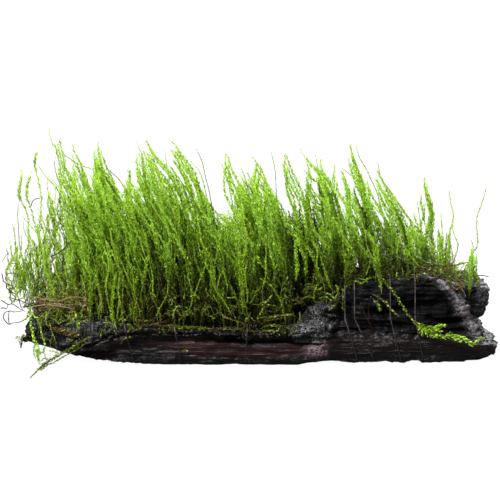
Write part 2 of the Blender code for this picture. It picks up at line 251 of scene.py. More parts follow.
def add_lamp(name, place, target, size, watts):
    """An area lamp at a place, in metres, turned to its target."""
    data = bpy.data.lights.new(name, "AREA")
    data.shape = "RECTANGLE"
    data.size, data.size_y = size
    data.energy = watts
    lamp = bpy.data.objects.new(name, data)
    bpy.context.scene.collection.objects.link(lamp)
    lamp.location = place
    direction = np.subtract(target, place)
    flat = math.hypot(direction[0], direction[1])
    tilt, turn = math.atan2(direction[2], flat), math.atan2(-direction[0], direction[1])
    lamp.rotation_euler = (math.pi / 2 + tilt, 0, turn)


sky = bpy.data.worlds.new("sky")
bpy.context.scene.world = sky
sky.use_nodes = True
tree = sky.node_tree
towards = tree.nodes.new("ShaderNodeTexCoord").outputs["Generated"]
behind = add_node(tree, "ShaderNodeVectorMath", {"operation": "DOT_PRODUCT"}, _0=towards, _1=LIGHT_SIDE)
share = math_node(tree, "ADD", behind.outputs["Value"], 0.5)
lights = ramp(tree, share, [(0.0, 0.10), (0.3, 0.16), (0.5, 0.4), (0.75, 0.95), (1.0, 1.0)])
seen = add_node(tree, "ShaderNodeLightPath").outputs["Is Camera Ray"]
both = blend_colours(tree, seen, lights, SKY_WHITE)
tree.links.new(both, tree.nodes["Background"].inputs["Color"])
tree.nodes["Background"].inputs["Strength"].default_value = SKY_STRENGTH
add_lamp("back_softbox", (0.1, 0.55, 0.55), MIDDLE, (0.9, 0.5), 12)
add_lamp("front_softbox", (-0.35, -0.5, 0.75), MIDDLE, (0.4, 0.3), 22)
bpy.context.scene.view_settings.view_transform = "Standard"
print("sky and", len(bpy.data.lights), "lamps")

# %% [markdown]
# ## Numpy tools
#
# Natural surfaces need smooth chance. Blender has a noise function, but it takes one point at a time. Value
# noise on whole arrays is short to write: each corner of a lattice gets a fixed random value from its
# whole-number address, and a point blends the eight corners round it. Adding the same noise at smaller and
# smaller sizes gives a fractal.

# %% Noise for whole arrays
# Large odd numbers scatter neighbouring addresses: one for each axis, one for the seed, one for the last mix.
ADDRESS_PRIMES = (73856093, 19349663, 83492791)
SEED_FACTOR = 2654435761
MIX_FACTOR = 1274126177
LOW_BITS = 0xFFFF


def value_noise(points, seed):
    """Smooth noise from -1 to 1: each corner's value comes from its address, blended by 3t^2 - 2t^3."""
    cell = np.floor(points).astype(np.int64)
    part = points - cell
    blend = part * part * (3 - 2 * part)
    total = np.zeros(points.shape[:-1])
    for corner in np.ndindex(2, 2, 2):
        address = (cell + corner) * np.array(ADDRESS_PRIMES)
        mixed = address[..., 0] ^ address[..., 1] ^ address[..., 2] ^ (seed * SEED_FACTOR)
        mixed = (mixed ^ (mixed >> 13)) * MIX_FACTOR
        value = ((mixed ^ (mixed >> 16)) & LOW_BITS) / (LOW_BITS / 2) - 1
        total += value * np.prod(np.where(corner, blend, 1 - blend), axis=-1)
    return total


def fractal(points, size, octaves=3, seed=0):
    """Noise with bumps of the given (x, y, z) size, plus the same at half the size and height, and so on."""
    scaled = points / np.asarray(size, float)
    return sum(value_noise(scaled * 2 ** k, seed + k) * 0.5 ** k for k in range(octaves))


def smooth_step(low, high, value):
    """From 0 at low to 1 at high, with a soft start and end: 3t^2 - 2t^3."""
    t = np.clip((value - low) / (high - low), 0, 1)
    return t * t * (3 - 2 * t)


print("noise at one place:", round(float(fractal(np.array([[3.3, 1.2, 0.4]]), 2.0)[0]), 3))

# %% A mesh from arrays
def mesh_from_arrays(name, points, triangles, uv):
    """A mesh from arrays: points in mm (n, 3), triangles' corner numbers (m, 3), a UV for each point."""
    mesh = bpy.data.meshes.new(name)
    mesh.vertices.add(len(points))
    mesh.vertices.foreach_set("co", (points * MM).astype(np.float32).ravel())
    mesh.loops.add(triangles.size)
    mesh.loops.foreach_set("vertex_index", triangles.astype(np.int32).ravel())
    mesh.polygons.add(len(triangles))
    mesh.polygons.foreach_set("loop_start", np.arange(0, triangles.size, 3, dtype=np.int32))
    mesh.polygons.foreach_set("use_smooth", np.ones(len(triangles), bool))
    layer = mesh.uv_layers.new(name="OFBake")
    layer.data.foreach_set("uv", uv[triangles.ravel()].astype(np.float32).ravel())
    mesh.update(calc_edges=True)
    mesh.validate()
    return mesh


def add_piece(mesh, material, nodes):
    """Puts a mesh into the scene as a piece with its finish, and hides the solids it stands for."""
    piece = bpy.data.objects.new(mesh.name, mesh)
    bpy.context.scene.collection.objects.link(piece)
    mesh.materials.clear()
    mesh.materials.append(material)
    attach(piece, "root")
    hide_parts(*nodes)
    print(f"{piece.name}: {len(mesh.polygons)} faces")


print("mesh helpers ready")

# %% [markdown]
# ## The driftwood's shape
#
# The solid has the wood's main forms: a long crust over a smooth split face, a taller block at the right,
# and a knob behind it. A sculptor would carve the grain by hand. Here a copy of the solid is remeshed into
# even small faces, and numpy moves each point along its normal. Bumps that are long along X and short
# across read as grain. Different stretches of the surface get different relief, so masks come first.

# %% A fine even copy of the solid
WOOD_VOXEL = 0.47
rough_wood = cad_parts["driftwood"].data.copy()
welded = bmesh.new()
welded.from_mesh(rough_wood)
bmesh.ops.remove_doubles(welded, verts=welded.verts, dist=0.01 * MM)
welded.to_mesh(rough_wood)
welded.free()
carved = bpy.data.objects.new("carved", rough_wood)
bpy.context.scene.collection.objects.link(carved)
remesh = carved.modifiers.new("even faces", "REMESH")
remesh.mode = "VOXEL"
remesh.voxel_size = WOOD_VOXEL * MM
wood_mesh = bpy.data.meshes.new_from_object(carved.evaluated_get(bpy.context.evaluated_depsgraph_get()))
bpy.data.objects.remove(carved)
wood_mesh.name = "wood"


def read_vectors(collection, key):
    """One vector for each point of the mesh, as an array of rows."""
    flat = np.empty(len(collection) * 3, np.float32)
    collection.foreach_get(key, flat)
    return flat.reshape(-1, 3).astype(float)


wood_points = read_vectors(wood_mesh.vertices, "co") / MM
wood_normals = read_vectors(wood_mesh.vertex_normals, "vector")
print(len(wood_points), "points of wood")

# %% Where the split face, the broken end and the crust are
LIP_Z = 8.4
NOTCH_X = 21.5
# The pale ridge down the block's right edge, (z, x).
RIDGE = np.array(((10.7, 67.8), (16.8, 63.7), (21.0, 61.4), (24.4, 59.3), (26.2, 56.0), (27.2, 52.0)))


def wood_noise(size, octaves, seed):
    """Fractal noise at the points of the wood, with bumps of the given (x, y, z) size."""
    return fractal(wood_points, size, octaves, seed)


x, y, z = wood_points.T
facing_front = smooth_step(0.15, 0.6, -wood_normals[:, 1])
# The crust's edge over the split face hangs lower at its right end.
lip_z = LIP_Z - 2.3 * smooth_step(8, 14, x) * (1 - smooth_step(19, NOTCH_X, x))
below_lip = 1 - smooth_step(-0.6, 0.5, z - lip_z + 0.6 * wood_noise((9, 50, 50), 2, 5))
split_face = facing_front * below_lip * smooth_step(-58, -50, x)
bottom_edge = 1 - smooth_step(2.0, 3.6, z + 0.7 * wood_noise((12, 60, 60), 2, 8))
ragged = 1.6 * wood_noise((3, 3, 3), 2, 97)
broken_end = facing_front * smooth_step(12, 17.5, x + ragged)
broken_end = broken_end * (1 - smooth_step(NOTCH_X - 1, NOTCH_X + 1, x + ragged)) * below_lip
broken_end *= smooth_step(2.4, 3.6, z)
block_face = facing_front * smooth_step(24, 27, x) * smooth_step(LIP_Z, LIP_Z + 1.5, z)
crust_end = smooth_step(7, 13, x + ragged) * (1 - smooth_step(22.0, 24.0, x)) * smooth_step(0, 1, z - lip_z)
crust_end *= 1 - smooth_step(16.8, 18.5, z)
ridge = np.exp(-((x + 0.6 * ragged - np.interp(z, *RIDGE.T)) / 1.9) ** 2)
ridge = ridge * smooth_step(7, 10, z) * smooth_step(-0.2, 0.3, -wood_normals[:, 1])
on_table = smooth_step(0.5, 0.9, -wood_normals[:, 2]) * (1 - smooth_step(0.4, 1.2, z))
print("share of the wood that is smooth split face:", round(float(split_face.mean()), 3))

# %% Where the wood meets the table at the front
# How far the front rim's lower edge is above the table, (x, z).
RIM_HEIGHTS = np.array((
    (-53, 0.3), (-44, 0.1), (-30, 0), (12, 0), (16, 0.8), (19, 1.3), (23.5, 1.3), (26, 0.5), (29, 0.2),
    (37, 0.3), (40, 0.7), (42, 0.2), (46, 0.1), (48.2, 1.0), (50.4, 0.9), (51.4, 0.1), (60, 0.4),
    (64.6, 0.3), (66, 1.1), (67.4, 0.7), (74, 1.7),
))
RIM_STEPS = np.arange(-76, 77, 2.0)


def front_rim(along_x):
    """The y of the wood's front at its foot: the smallest y of the low points near each rim step."""
    low = z < 3.0
    near = np.abs(x[low][:, None] - RIM_STEPS) < 1.5
    return np.interp(along_x, RIM_STEPS, np.where(near, y[low][:, None], 20.0).min(0))


print("the front rim reaches out to y", front_rim(RIM_STEPS).min().round(1), "mm")

# %% Noises for the relief
along_grain = wood_noise((15, 2.6, 1.9), 3, 11)
furrows = (1 - np.abs(along_grain)) ** 4
fine_grain = wood_noise((18, 1.3, 1.0), 2, 23)
crumbs = wood_noise((1.5, 1.3, 1.2), 3, 31)
plates = wood_noise((7, 4, 3.2), 2, 47)
pits = smooth_step(0.22, 0.6, wood_noise((3.2, 2.6, 1.7), 2, 59))
cracks = (1 - np.abs(wood_noise((26, 9, 2.3), 2, 71))) ** 9
level = z / 1.55 + 0.02 * x + 0.7 * wood_noise((30, 14, 40), 2, 77)
ledges = 0.75 * (level - np.floor(level)) ** 0.8 - 0.75
ledges *= np.clip(0.65 + 0.6 * wood_noise((22, 10, 2.5), 2, 79), 0.05, 1.2)
lumps = wood_noise((1.7, 1.4, 1.0), 2, 33)
fibres = 0.6 * wood_noise((1.2, 1.0, 1.2), 2, 83) - 0.4
print("share of the wood in furrows:", round(float((furrows > 0.5).mean()), 2))

# %% Blend the relief of the stretches
# Dark hollows in the block's front, (x, z, half length, half height, depth).
BLOCK_HOLLOWS = (
    (50.5, 17.6, 7.0, 2.0, 2.2), (26.8, 15.5, 2.0, 4.2, 2.0),
    (38.0, 15.8, 5.0, 1.6, 1.4), (61.5, 12.6, 5.0, 1.0, 1.3),
)
MOST_RAISED = 0.26

crust_relief = 0.6 * plates - 1.0 * furrows + 0.6 * crumbs - 1.2 * pits - 0.9 * cracks + 0.1
block_relief = 0.2 * plates - 0.6 * furrows + 0.12 * crumbs - 0.9 * cracks + 1.2 * ledges - 0.3 * pits + 0.35
split_relief = 0.18 * fine_grain - 0.25 * furrows - 0.4 * cracks + 0.22 * ledges
edge_relief = 0.3 * plates - 0.5 * furrows + 0.25 * crumbs + 0.9 * ledges + 0.1
relief = crust_relief * (1 - block_face) + block_relief * block_face
split_relief = split_relief * (1 - bottom_edge) + edge_relief * bottom_edge
relief = relief * (1 - split_face) + split_relief * split_face
relief = relief * (1 - broken_end) + fibres * broken_end
relief += 0.5 * lumps * np.maximum(crust_end, ridge) + 0.3 * ridge
relief += (0.25 - 0.25 * relief) * smooth_step(62, 68, x)
# A groove runs under the crust's edge, from the middle of the wood to the broken end.
under_lip = facing_front * smooth_step(-34, -22, x) * (1 - smooth_step(14, 20, x))
lip_height = lip_z + 0.5 * value_noise(wood_points / (8, 99, 99), 91)
relief -= 1.7 * under_lip * np.exp(-((z - lip_height) / 0.75) ** 2)
for x_middle, z_middle, half_length, half_height, hollow_depth in BLOCK_HOLLOWS:
    across_hollow = ((x - x_middle) / half_length) ** 4 + ((z - z_middle) / half_height) ** 4
    relief -= hollow_depth * facing_front * np.exp(-across_hollow)
# Nothing stands out far, and the relief fades where the wood lies on the table.
near_table = 0.25 + 0.75 * smooth_step(0.6, 2.6, z)
left_underside = smooth_step(0.1, 0.6, -wood_normals[:, 2]) * (1 - smooth_step(-52, -44, x))
relief = np.minimum(relief, MOST_RAISED) * (1 - on_table) * near_table * (1 - 0.85 * left_underside)
print("relief from", round(float(relief.min()), 2), "to", round(float(relief.max()), 2), "mm")

# %% Carve it, and shape the rim and the two ends
# Below RIM_TOP the front rim is pressed up towards its lower edge, most of all below RIM_FLAT.
RIM_FLAT, RIM_TOP = 1.5, 2.6
# The underside of the left end hangs lower than its solid, (x, mm).
LEFT_DROP = np.array((
    (-76, 2.4), (-72, 1.2), (-68, 0.8), (-65, 1.3), (-62, 2.1), (-58, 2.9), (-54.6, 2.7), (-51.5, 1.9),
    (-48, 0.8), (-40, 0.0),
))
KNOB_OUT, KNOB_DOWN, FOOT_OUT = 0.9, 1.6, 1.2

wood_points = wood_points + wood_normals * relief[:, None]
rim_depth = 1.8 + 4.0 * np.exp(-((x - NOTCH_X) / 3.2) ** 4)
rim = smooth_step(-56, -53, x) * (y < front_rim(x) + rim_depth)
rim_z = np.interp(x, *RIM_HEIGHTS.T)
pressed = rim_z + np.clip((z - RIM_FLAT) / (RIM_TOP - RIM_FLAT), 0, 1) * (RIM_TOP - rim_z)
wood_points[:, 2] += rim * np.where(z < RIM_TOP, pressed - z, 0.0)
wood_points[:, 2] -= np.interp(wood_points[:, 0], *LEFT_DROP.T) * (1 - smooth_step(9, 15, wood_points[:, 2]))
# At the right end the foot and the knob stand out more than in the solid, and the knob hangs lower.
right_foot = smooth_step(63, 69, x) * smooth_step(2.5, 5, z) * (1 - smooth_step(8, 12, z))
knob = smooth_step(62, 68, x) * smooth_step(14.5, 17, z)
knob_underside = smooth_step(63, 66, x) * smooth_step(0.1, 0.6, -wood_normals[:, 2]) * smooth_step(9, 11, z)
wood_points[:, 0] += FOOT_OUT * right_foot + KNOB_OUT * knob
wood_points[:, 2] -= KNOB_DOWN * knob_underside
wood_points[:, 2] = np.maximum(wood_points[:, 2], 0.0)
wood_mesh.vertices.foreach_set("co", (wood_points * MM).astype(np.float32).ravel())
wood_mesh.polygons.foreach_set("use_smooth", np.ones(len(wood_mesh.polygons), bool))
wood_mesh.update()
print("the carved wood spans", np.ptp(wood_points, axis=0).round(1), "mm")

# %% [markdown]
# ## The driftwood's finish
#
# Soaked driftwood is almost black, and its crust glints where water sits on the high spots. Besides the
# real reflections, these glints are painted into the colour as pale specks and lines, a painted highlight.
# Pale patches on the left end and a pale line on the knob's rim are painted highlights too, and the grey
# crumbs of the bark are painted darker in the pits, a painted shade. The split face below is smooth
# and dark reddish brown. One plain colour with a noise on it would look like plastic, so the finish
# follows the relief that was just carved: each point keeps how deep it lies and which stretch it belongs
# to as an attribute, and the material reads those attributes. Only specks, fine fibres and patches come
# from noise nodes.

# %% Keep the relief and the stretches on the mesh
DEPTH_RANGE = 2.6
# Painted highlights: how strong the painted glints are on the crust, the ledge and the block's top.
ledge = smooth_step(24, 27, x) * np.exp(-((z - LIP_Z - 0.8) / 0.7) ** 2)
block_top = smooth_step(38, 42, x) * (1 - smooth_step(58, 62, x)) * smooth_step(18.5, 20.5, z)
block_glints = 0.44 + 0.3 * ledge + 0.2 * block_top
left_end = 1 - smooth_step(-48, -40, x)
crust_glints = 0.30 - 0.20 * left_end + 0.25 * (1 - left_end) * (1 - smooth_step(3, 5, z))
# Painted highlights: soft pale patches on the left end and a pale line along the knob's rim, laid on as bark.
pale_highlight_patches = left_end * smooth_step(-0.05, 0.4, wood_noise((4.5, 4.5, 2.6), 2, 63))
knob_rim_highlight = smooth_step(67.6, 69.2, x) * smooth_step(11, 13, z)
bark_and_highlight_shares = (0.5 * crust_end, ridge, 0.46 * pale_highlight_patches, 0.32 * knob_rim_highlight)
kept = {
    "depth": np.clip((MOST_RAISED - relief) / DEPTH_RANGE, 0, 1),
    "split_face": np.clip(split_face * (1 - bottom_edge), 0, 1),
    "broken_end": np.clip(broken_end, 0, 1),
    "streaks": np.clip(0.42 + 0.75 * fine_grain, 0, 1) * (1 - 0.88 * smooth_step(19, 23, x)),
    "glints": np.clip(crust_glints * (1 - block_face) + block_glints * block_face, 0, 1),
    "bark_and_highlights": np.clip(np.max(bark_and_highlight_shares, 0), 0, 1),
    "shine": 1 - 0.86 * block_face - 0.2 * broken_end - 0.45 * left_end,
}
for name, values in kept.items():
    layer = wood_mesh.attributes.new(name, "FLOAT", "POINT")
    layer.data.foreach_set("value", np.asarray(values, np.float32))
print("kept", {name: round(float(values.mean()), 2) for name, values in kept.items()})

# %% Colours and noises of the wet driftwood
WET_BLACK = (0.0040, 0.0035, 0.0038)
# The pale grey of the painted glints, a painted highlight.
PAINTED_GLINT = (0.110, 0.114, 0.135)
SPLIT_DARK = (0.0045, 0.0030, 0.0030)
SPLIT_RED = (0.026, 0.0100, 0.0096)
SPLIT_PALE = (0.070, 0.052, 0.050)
BROKEN_DARK = (0.020, 0.011, 0.012)
BROKEN_PINK = (0.120, 0.084, 0.090)
BARK_DARK = (0.004, 0.004, 0.004)
# The bark's own pale grey, also used for the painted highlights on the left end and the knob's rim.
BARK_AND_HIGHLIGHT_GREY = (0.135, 0.130, 0.132)
RIDGE_GREY = (0.240, 0.212, 0.226)
# How often the two grain noises repeat in a metre, along X, across and upwards.
FIBRE_SCALE = (150.0, 750.0, 1900.0)
LAYER_SCALE = (40.0, 300.0, 900.0)

driftwood_finish, tree = empty_material("wet_driftwood")
place = tree.nodes.new("ShaderNodeTexCoord").outputs["Object"]
depth, split, broken, streaks, glints, bark_and_highlights, shine = (
    add_node(tree, "ShaderNodeAttribute", {"attribute_name": name}).outputs["Fac"] for name in kept
)
stretched = add_node(tree, "ShaderNodeMapping", Vector=place, Scale=FIBRE_SCALE).outputs[0]
layered = add_node(tree, "ShaderNodeMapping", Vector=place, Scale=LAYER_SCALE).outputs[0]
grit = noise_node(tree, place, 1500.0, 4.0, 0.7)
fibre = noise_node(tree, stretched, 1.0, 3.0, 0.6)
layer_noise = noise_node(tree, layered, 1.0, 3.0, 0.6)
patches = noise_node(tree, place, 170.0, 3.0)
crumbly = noise_node(tree, place, 2100.0, 2.0, 0.6)
print("the finish reads", list(kept))

# %% Colour of the crust and of the split face
def times(first, second):
    """The product of two greys of the driftwood's finish."""
    return math_node(tree, "MULTIPLY", first, second)


# Painted highlights: water glints, painted as pale specks and short lines on the high spots, in patches.
high_spots = ramp(tree, depth, [(0.0, 1.0), (0.22, 0.7), (0.45, 0.05)])
specks = times(ramp(tree, grit, [(0.58, 0.0), (0.68, 1.0)]), high_spots)
lines = times(ramp(tree, fibre, [(0.58, 0.0), (0.68, 1.0)]), high_spots)
either = math_node(tree, "MAXIMUM", specks, times(lines, 0.75))
wet = times(either, times(ramp(tree, patches, [(0.42, 0.05), (0.62, 1.0)]), glints))
crust_colour = blend_colours(tree, wet, WET_BLACK, PAINTED_GLINT)
# The split face is dark with reddish streaks, and a few fibres in it are pale.
red_wood = blend_colours(tree, streaks, SPLIT_DARK, SPLIT_RED)
pale_fibre = ramp(tree, fibre, [(0.60, 0.0), (0.70, 1.0)])
pale_fibre = times(pale_fibre, ramp(tree, patches, [(0.45, 0.0), (0.64, 0.6)]))
pale_fibre = times(pale_fibre, ramp(tree, streaks, [(0.0, 0.15), (0.4, 1.0)]))
split_colour = blend_colours(tree, pale_fibre, red_wood, SPLIT_PALE)
print("crust and split face coloured, with", len(tree.nodes), "nodes so far")

# %% Colour of the broken end, of the bark and its painted highlights, and the finish
broken_lit = ramp(tree, crumbly, [(0.42, 0.0), (0.60, 1.0)])
broken_colour = blend_colours(tree, broken_lit, BROKEN_DARK, BROKEN_PINK)
# Painted shade: the grey crumbs of the bark and the ridge get darker the deeper they lie.
bark_lit = ramp(tree, crumbly, [(0.44, 0.0), (0.62, 1.0)])
bark_lit = times(bark_lit, ramp(tree, depth, [(0.0, 1.0), (0.3, 0.8), (0.6, 0.1)]))
ridge_share = ramp(tree, bark_and_highlights, [(0.5, 0.0), (0.9, 1.0)])
ridge_lit = ramp(tree, crumbly, [(0.30, 0.12), (0.60, 0.9)])
ridge_lit = times(ridge_lit, ramp(tree, depth, [(0.1, 1.0), (0.3, 0.6), (0.5, 0.0)]))
bark_lit = math_node(tree, "MAXIMUM", bark_lit, times(ridge_lit, ridge_share))
bark_and_highlight_grey = blend_colours(tree, ridge_share, BARK_AND_HIGHLIGHT_GREY, RIDGE_GREY)
bark_and_highlight_colour = blend_colours(tree, bark_lit, BARK_DARK, bark_and_highlight_grey)
wood_colour = blend_colours(tree, split, crust_colour, split_colour)
wood_colour = blend_colours(tree, broken, wood_colour, broken_colour)
# The bark, with its painted highlights, lies over the rest.
wood_colour = blend_colours(tree, ramp(tree, bark_and_highlights, [(0.05, 0.0), (0.45, 1.0)]), wood_colour, bark_and_highlight_colour)
wetness = ramp(tree, patches, [(0.4, 0.12), (0.62, 0.28)])
layer_bump = bump_node(tree, 0.7, 0.0006, layer_noise)
rough = bump_node(tree, 0.5, 0.0003, grit, Normal=layer_bump)
grained = bump_node(tree, 0.8, 0.0004, fibre, Normal=rough)
shader = add_node(
    tree, "ShaderNodeBsdfPrincipled",
    Base_Color=wood_colour, Roughness=wetness, Normal=grained, Specular_IOR_Level=times(shine, 0.17),
)
to_output(tree, shader.outputs[0])
add_piece(wood_mesh, driftwood_finish, ["driftwood"])

# %% [markdown]
# ## Where moss can stand
#
# Moss grips the top of the wood. Each shoot's foot has to be on that surface, so the wood's top is read
# once as a height map: the highest carved point in each small square, with any empty square filled from its
# neighbours. The wood's front is read in the same way, for the shoots and loose ends that hang down over
# it.

# %% Maps of the wood's top and front
MAP_CELL = 0.5
TOP_LOW, TOP_SIZE = (-80.0, -24.0), (320, 96)
FRONT_LOW, FRONT_SIZE = (-80.0, -2.0), (320, 80)
NOTHING = -99.0
FILL_TURNS = 60
NEXT_SQUARES = ((1, 0), (-1, 0), (0, 1), (0, -1))


def closed(grid):
    """The grid with narrow pits filled: the highest of each square's neighbours, then the lowest of those."""
    steps = [(i, j) for i in (-1, 0, 1) for j in (-1, 0, 1)]
    raised = np.max([np.roll(grid, step, (0, 1)) for step in steps], axis=0)
    return np.min([np.roll(raised, step, (0, 1)) for step in steps], axis=0)


def outermost(first, second, value, low, size):
    """A grid over (first, second) with each square's highest value, gaps filled, and where there was one."""
    column = ((first - low[0]) / MAP_CELL).astype(int)
    row = ((second - low[1]) / MAP_CELL).astype(int)
    grid = np.full(size, NOTHING)
    np.maximum.at(grid, (column, row), value)
    found = grid > NOTHING
    for turn in range(FILL_TURNS):
        grown = np.max([grid] + [np.roll(grid, step, (0, 1)) for step in NEXT_SQUARES], axis=0)
        grid = np.where(grid > NOTHING, grid, grown)
    return closed(grid), found


def read_grid(grid, low, first, second):
    """The grid's value at each (first, second), blended between its four nearest squares."""
    across = np.clip((np.asarray(first) - low[0]) / MAP_CELL - 0.5, 0, grid.shape[0] - 1.001)
    along_second = np.clip((np.asarray(second) - low[1]) / MAP_CELL - 0.5, 0, grid.shape[1] - 1.001)
    i, j = across.astype(int), along_second.astype(int)
    f, g = across - i, along_second - j
    near = grid[i, j] * (1 - f) + grid[i + 1, j] * f
    far = grid[i, j + 1] * (1 - f) + grid[i + 1, j + 1] * f
    return near * (1 - g) + far * g


wood_x, wood_y, wood_z = wood_points.T
top_grid, top_found = outermost(wood_x, wood_y, wood_z, TOP_LOW, TOP_SIZE)
front_grid = outermost(wood_x, wood_z, -wood_y, FRONT_LOW, FRONT_SIZE)[0]
front_edges = TOP_LOW[1] + np.argmax(top_found, 1) * MAP_CELL
print("the top lies between", top_grid[top_found].min().round(1), "and", top_grid.max().round(1), "mm")

# %% Questions to the maps
def ground(x, y):
    """The wood's height at (x, y)."""
    return read_grid(top_grid, TOP_LOW, x, y)


def face(x, z):
    """The y of the wood's front at (x, z)."""
    return -read_grid(front_grid, FRONT_LOW, x, z)


def front_edge(x):
    """The y where the wood's top ends at the front, at x."""
    return np.interp(x, TOP_LOW[0] + (np.arange(TOP_SIZE[0]) + 0.5) * MAP_CELL, front_edges)


def over_wood(x, y):
    """True where there is wood under (x, y)."""
    return read_grid(top_found.astype(float), TOP_LOW, x, y) > 0.5


print("in the middle the wood is", ground(0.0, 0.0).round(1), "mm high")

# %% [markdown]
# ## A leafy shoot
#
# A moss shoot is a hair-thin stem with small pointed leaves all round it. It could be one card with a
# picture of leaves, but such a card is empty from the side, and this moss is seen from all sides. Here the
# stem is a three-sided tube along a path, and each leaf is a folded kite of two triangles. Thousands of
# shoots are made at once: the paths are one array with a row for each shoot, and every leaf finds its place
# by how far along the path it grows.

# %% Stems
def directions(paths):
    """Unit tangents by differences of neighbours, and two unit vectors across them by cross products."""
    ahead = np.gradient(paths, axis=1)
    ahead /= np.linalg.norm(ahead, axis=-1, keepdims=True) + 1e-9
    helper = np.where(np.abs(ahead[..., 1:2]) < 0.9, np.array((0.0, 1.0, 0.0)), np.array((1.0, 0.0, 0.0)))
    side = np.cross(ahead, helper)
    side /= np.linalg.norm(side, axis=-1, keepdims=True)
    return ahead, side, np.cross(side, ahead)


def stem_tubes(paths, radius, shade, tint):
    """A three-sided tube on each path, thin as a point at both ends. Radius is (n,), the others (n, k)."""
    count, rings = paths.shape[:2]
    ahead, side, other = directions(paths)
    taper = 1 - 0.4 * np.linspace(0, 1, rings)
    taper[[0, -1]] = 0.02
    angle = np.arange(3) * 2 * np.pi / 3
    ring = np.cos(angle)[:, None] * side[:, :, None] + np.sin(angle)[:, None] * other[:, :, None]
    points = paths[:, :, None] + ring * (radius[:, None] * taper)[:, :, None, None]
    step = np.arange(rings - 1)[:, None]
    here, there = step * 3 + np.arange(3), step * 3 + (np.arange(3) + 1) % 3
    quads = np.stack((here, here + 3, there + 3, here, there + 3, there), -1).reshape(-1, 3)
    triangles = quads + (np.arange(count) * rings * 3)[:, None, None]
    around = np.array((-0.004, 0.0, 0.004))
    uv = np.stack(np.broadcast_arrays(tint[:, :, None] + around, shade[:, :, None]), -1)
    return points.reshape(-1, 3), triangles.reshape(-1, 3), uv.reshape(-1, 2)


print("a stem with 12 rings has", 12 * 3, "points")

# %% Leaves
GOLDEN_TURN = 2.39996
FULL_TURN = 6.28
ENDS_BARE = 0.995


def along(rows, share):
    """Each row's values at the given shares of its length, blended. Rows are (n, k) or (n, k, 3)."""
    at = np.clip(share, 0, 1) * (rows.shape[1] - 1)
    low = np.minimum(at.astype(int), rows.shape[1] - 2)
    part = at - low
    n = np.arange(len(rows))[:, None]
    if rows.ndim == 3:
        part = part[..., None]
    return rows[n, low] * (1 - part) + rows[n, low + 1] * part


def leaf_kites(paths, shade, tint, leaf, spacing, slant, chance):
    """Kites round each path. Leaf i grows at i * spacing, turned by the golden angle, and leans forward.

    For each path, leaf is (length, width) in mm, spacing the step in mm, and slant the lean in radians.
    """
    lengths = np.linalg.norm(np.diff(paths, axis=1), axis=-1).sum(1)
    most = int((lengths / spacing).max())
    share = (np.arange(most) + chance.random((len(paths), most))) * spacing[:, None] / lengths[:, None]
    grows = share < ENDS_BARE
    ahead, side, other = directions(paths)
    start, ahead, side, other = (along(rows, share) for rows in (paths, ahead, side, other))
    turn = np.arange(most) * GOLDEN_TURN + chance.random((len(paths), 1)) * FULL_TURN
    out = np.cos(turn)[..., None] * side + np.sin(turn)[..., None] * other
    lean = (slant[:, None] * (1.1 - 0.5 * share) * chance.uniform(0.6, 1.4, share.shape))[..., None]
    full_grown = smooth_step(0.0, 0.12, share) * (1 - 0.3 * smooth_step(0.8, 1.0, share))
    grown = full_grown * chance.uniform(0.7, 1.3, share.shape)
    blade = np.cos(lean) * ahead + np.sin(lean) * out
    across = np.cross(ahead, out)
    size = (leaf[0][:, None] * grown)[..., None]
    half = (leaf[1][:, None] * grown)[..., None] / 2
    middle = start + blade * size * 0.42
    fold = out * size * 0.1
    tip = start + blade * size - fold
    kite = np.stack((start, middle + across * half + fold, tip, middle - across * half + fold), 2)
    # Leaves differ at random in how light they are; the few much lighter ones are a painted sparkle.
    leaf_shade = along(shade, share) * (0.48 + 1.6 * chance.random(share.shape) ** 1.8)
    leaf_tint = along(tint, share) + chance.normal(0, 0.025, share.shape)
    u = leaf_tint[..., None] + np.array((0.0, 0.004, 0.0, -0.004))
    v = leaf_shade[..., None] + np.array((-0.012, 0.0, 0.02, 0.0))
    kite, uv = kite[grows], np.stack((u, v), -1)[grows]
    first = np.arange(len(kite))[:, None, None] * 4
    triangles = first + np.array(((0, 1, 2), (0, 2, 3)))
    return kite.reshape(-1, 3), triangles.reshape(-1, 3), uv.reshape(-1, 2)


def join_parts(parts):
    """One set of points, triangles and UVs from several: corner numbers go on from the last part's."""
    offsets = np.cumsum([0] + [len(points) for points, _, _ in parts[:-1]])
    points = np.concatenate([part[0] for part in parts])
    triangles = np.concatenate([part[1] + offset for part, offset in zip(parts, offsets)])
    return points, triangles, np.clip(np.concatenate([part[2] for part in parts]), 0.01, 0.99)


def leafy(paths, shade, tint, radius, leaf_length, leaf_width, spacing, slant, chance):
    """Stems and leaves on all paths. A size is one number or one for each path, a tint also for each ring."""
    n, rings = paths.shape[:2]
    sizes = (radius, leaf_length, leaf_width, spacing, slant)
    sizes = (np.broadcast_to(np.asarray(size, float), n) for size in sizes)
    radius, leaf_length, leaf_width, spacing, slant = sizes
    tint = np.asarray(tint, float)
    tint = np.broadcast_to(tint if tint.ndim == 2 else tint.reshape(-1, 1), (n, rings))
    shade = np.broadcast_to(shade, (n, rings))
    stems = stem_tubes(paths, radius, shade, tint)
    leaves = leaf_kites(paths, shade, tint, (leaf_length, leaf_width), spacing, slant, chance)
    return join_parts([stems, leaves])


print("a leaf is a kite of 2 triangles")

# %% [markdown]
# ## Moss green
#
# Light passes through moss leaves. A shoot is nearly black-green where it starts, deep in the clump, then
# fresh green, and its young tip is pale lime. The UV map of each piece holds just these two facts, and not
# a place on a picture: v is how high and how young a leaf is, with painted light and shade in it, darker
# where the clump would shade the leaf and lighter where light would reach it, and u is its tint, from cool
# green over yellow-green to brown. The material turns them into colour. Part of the light goes through the
# leaf, by a Translucent shader.

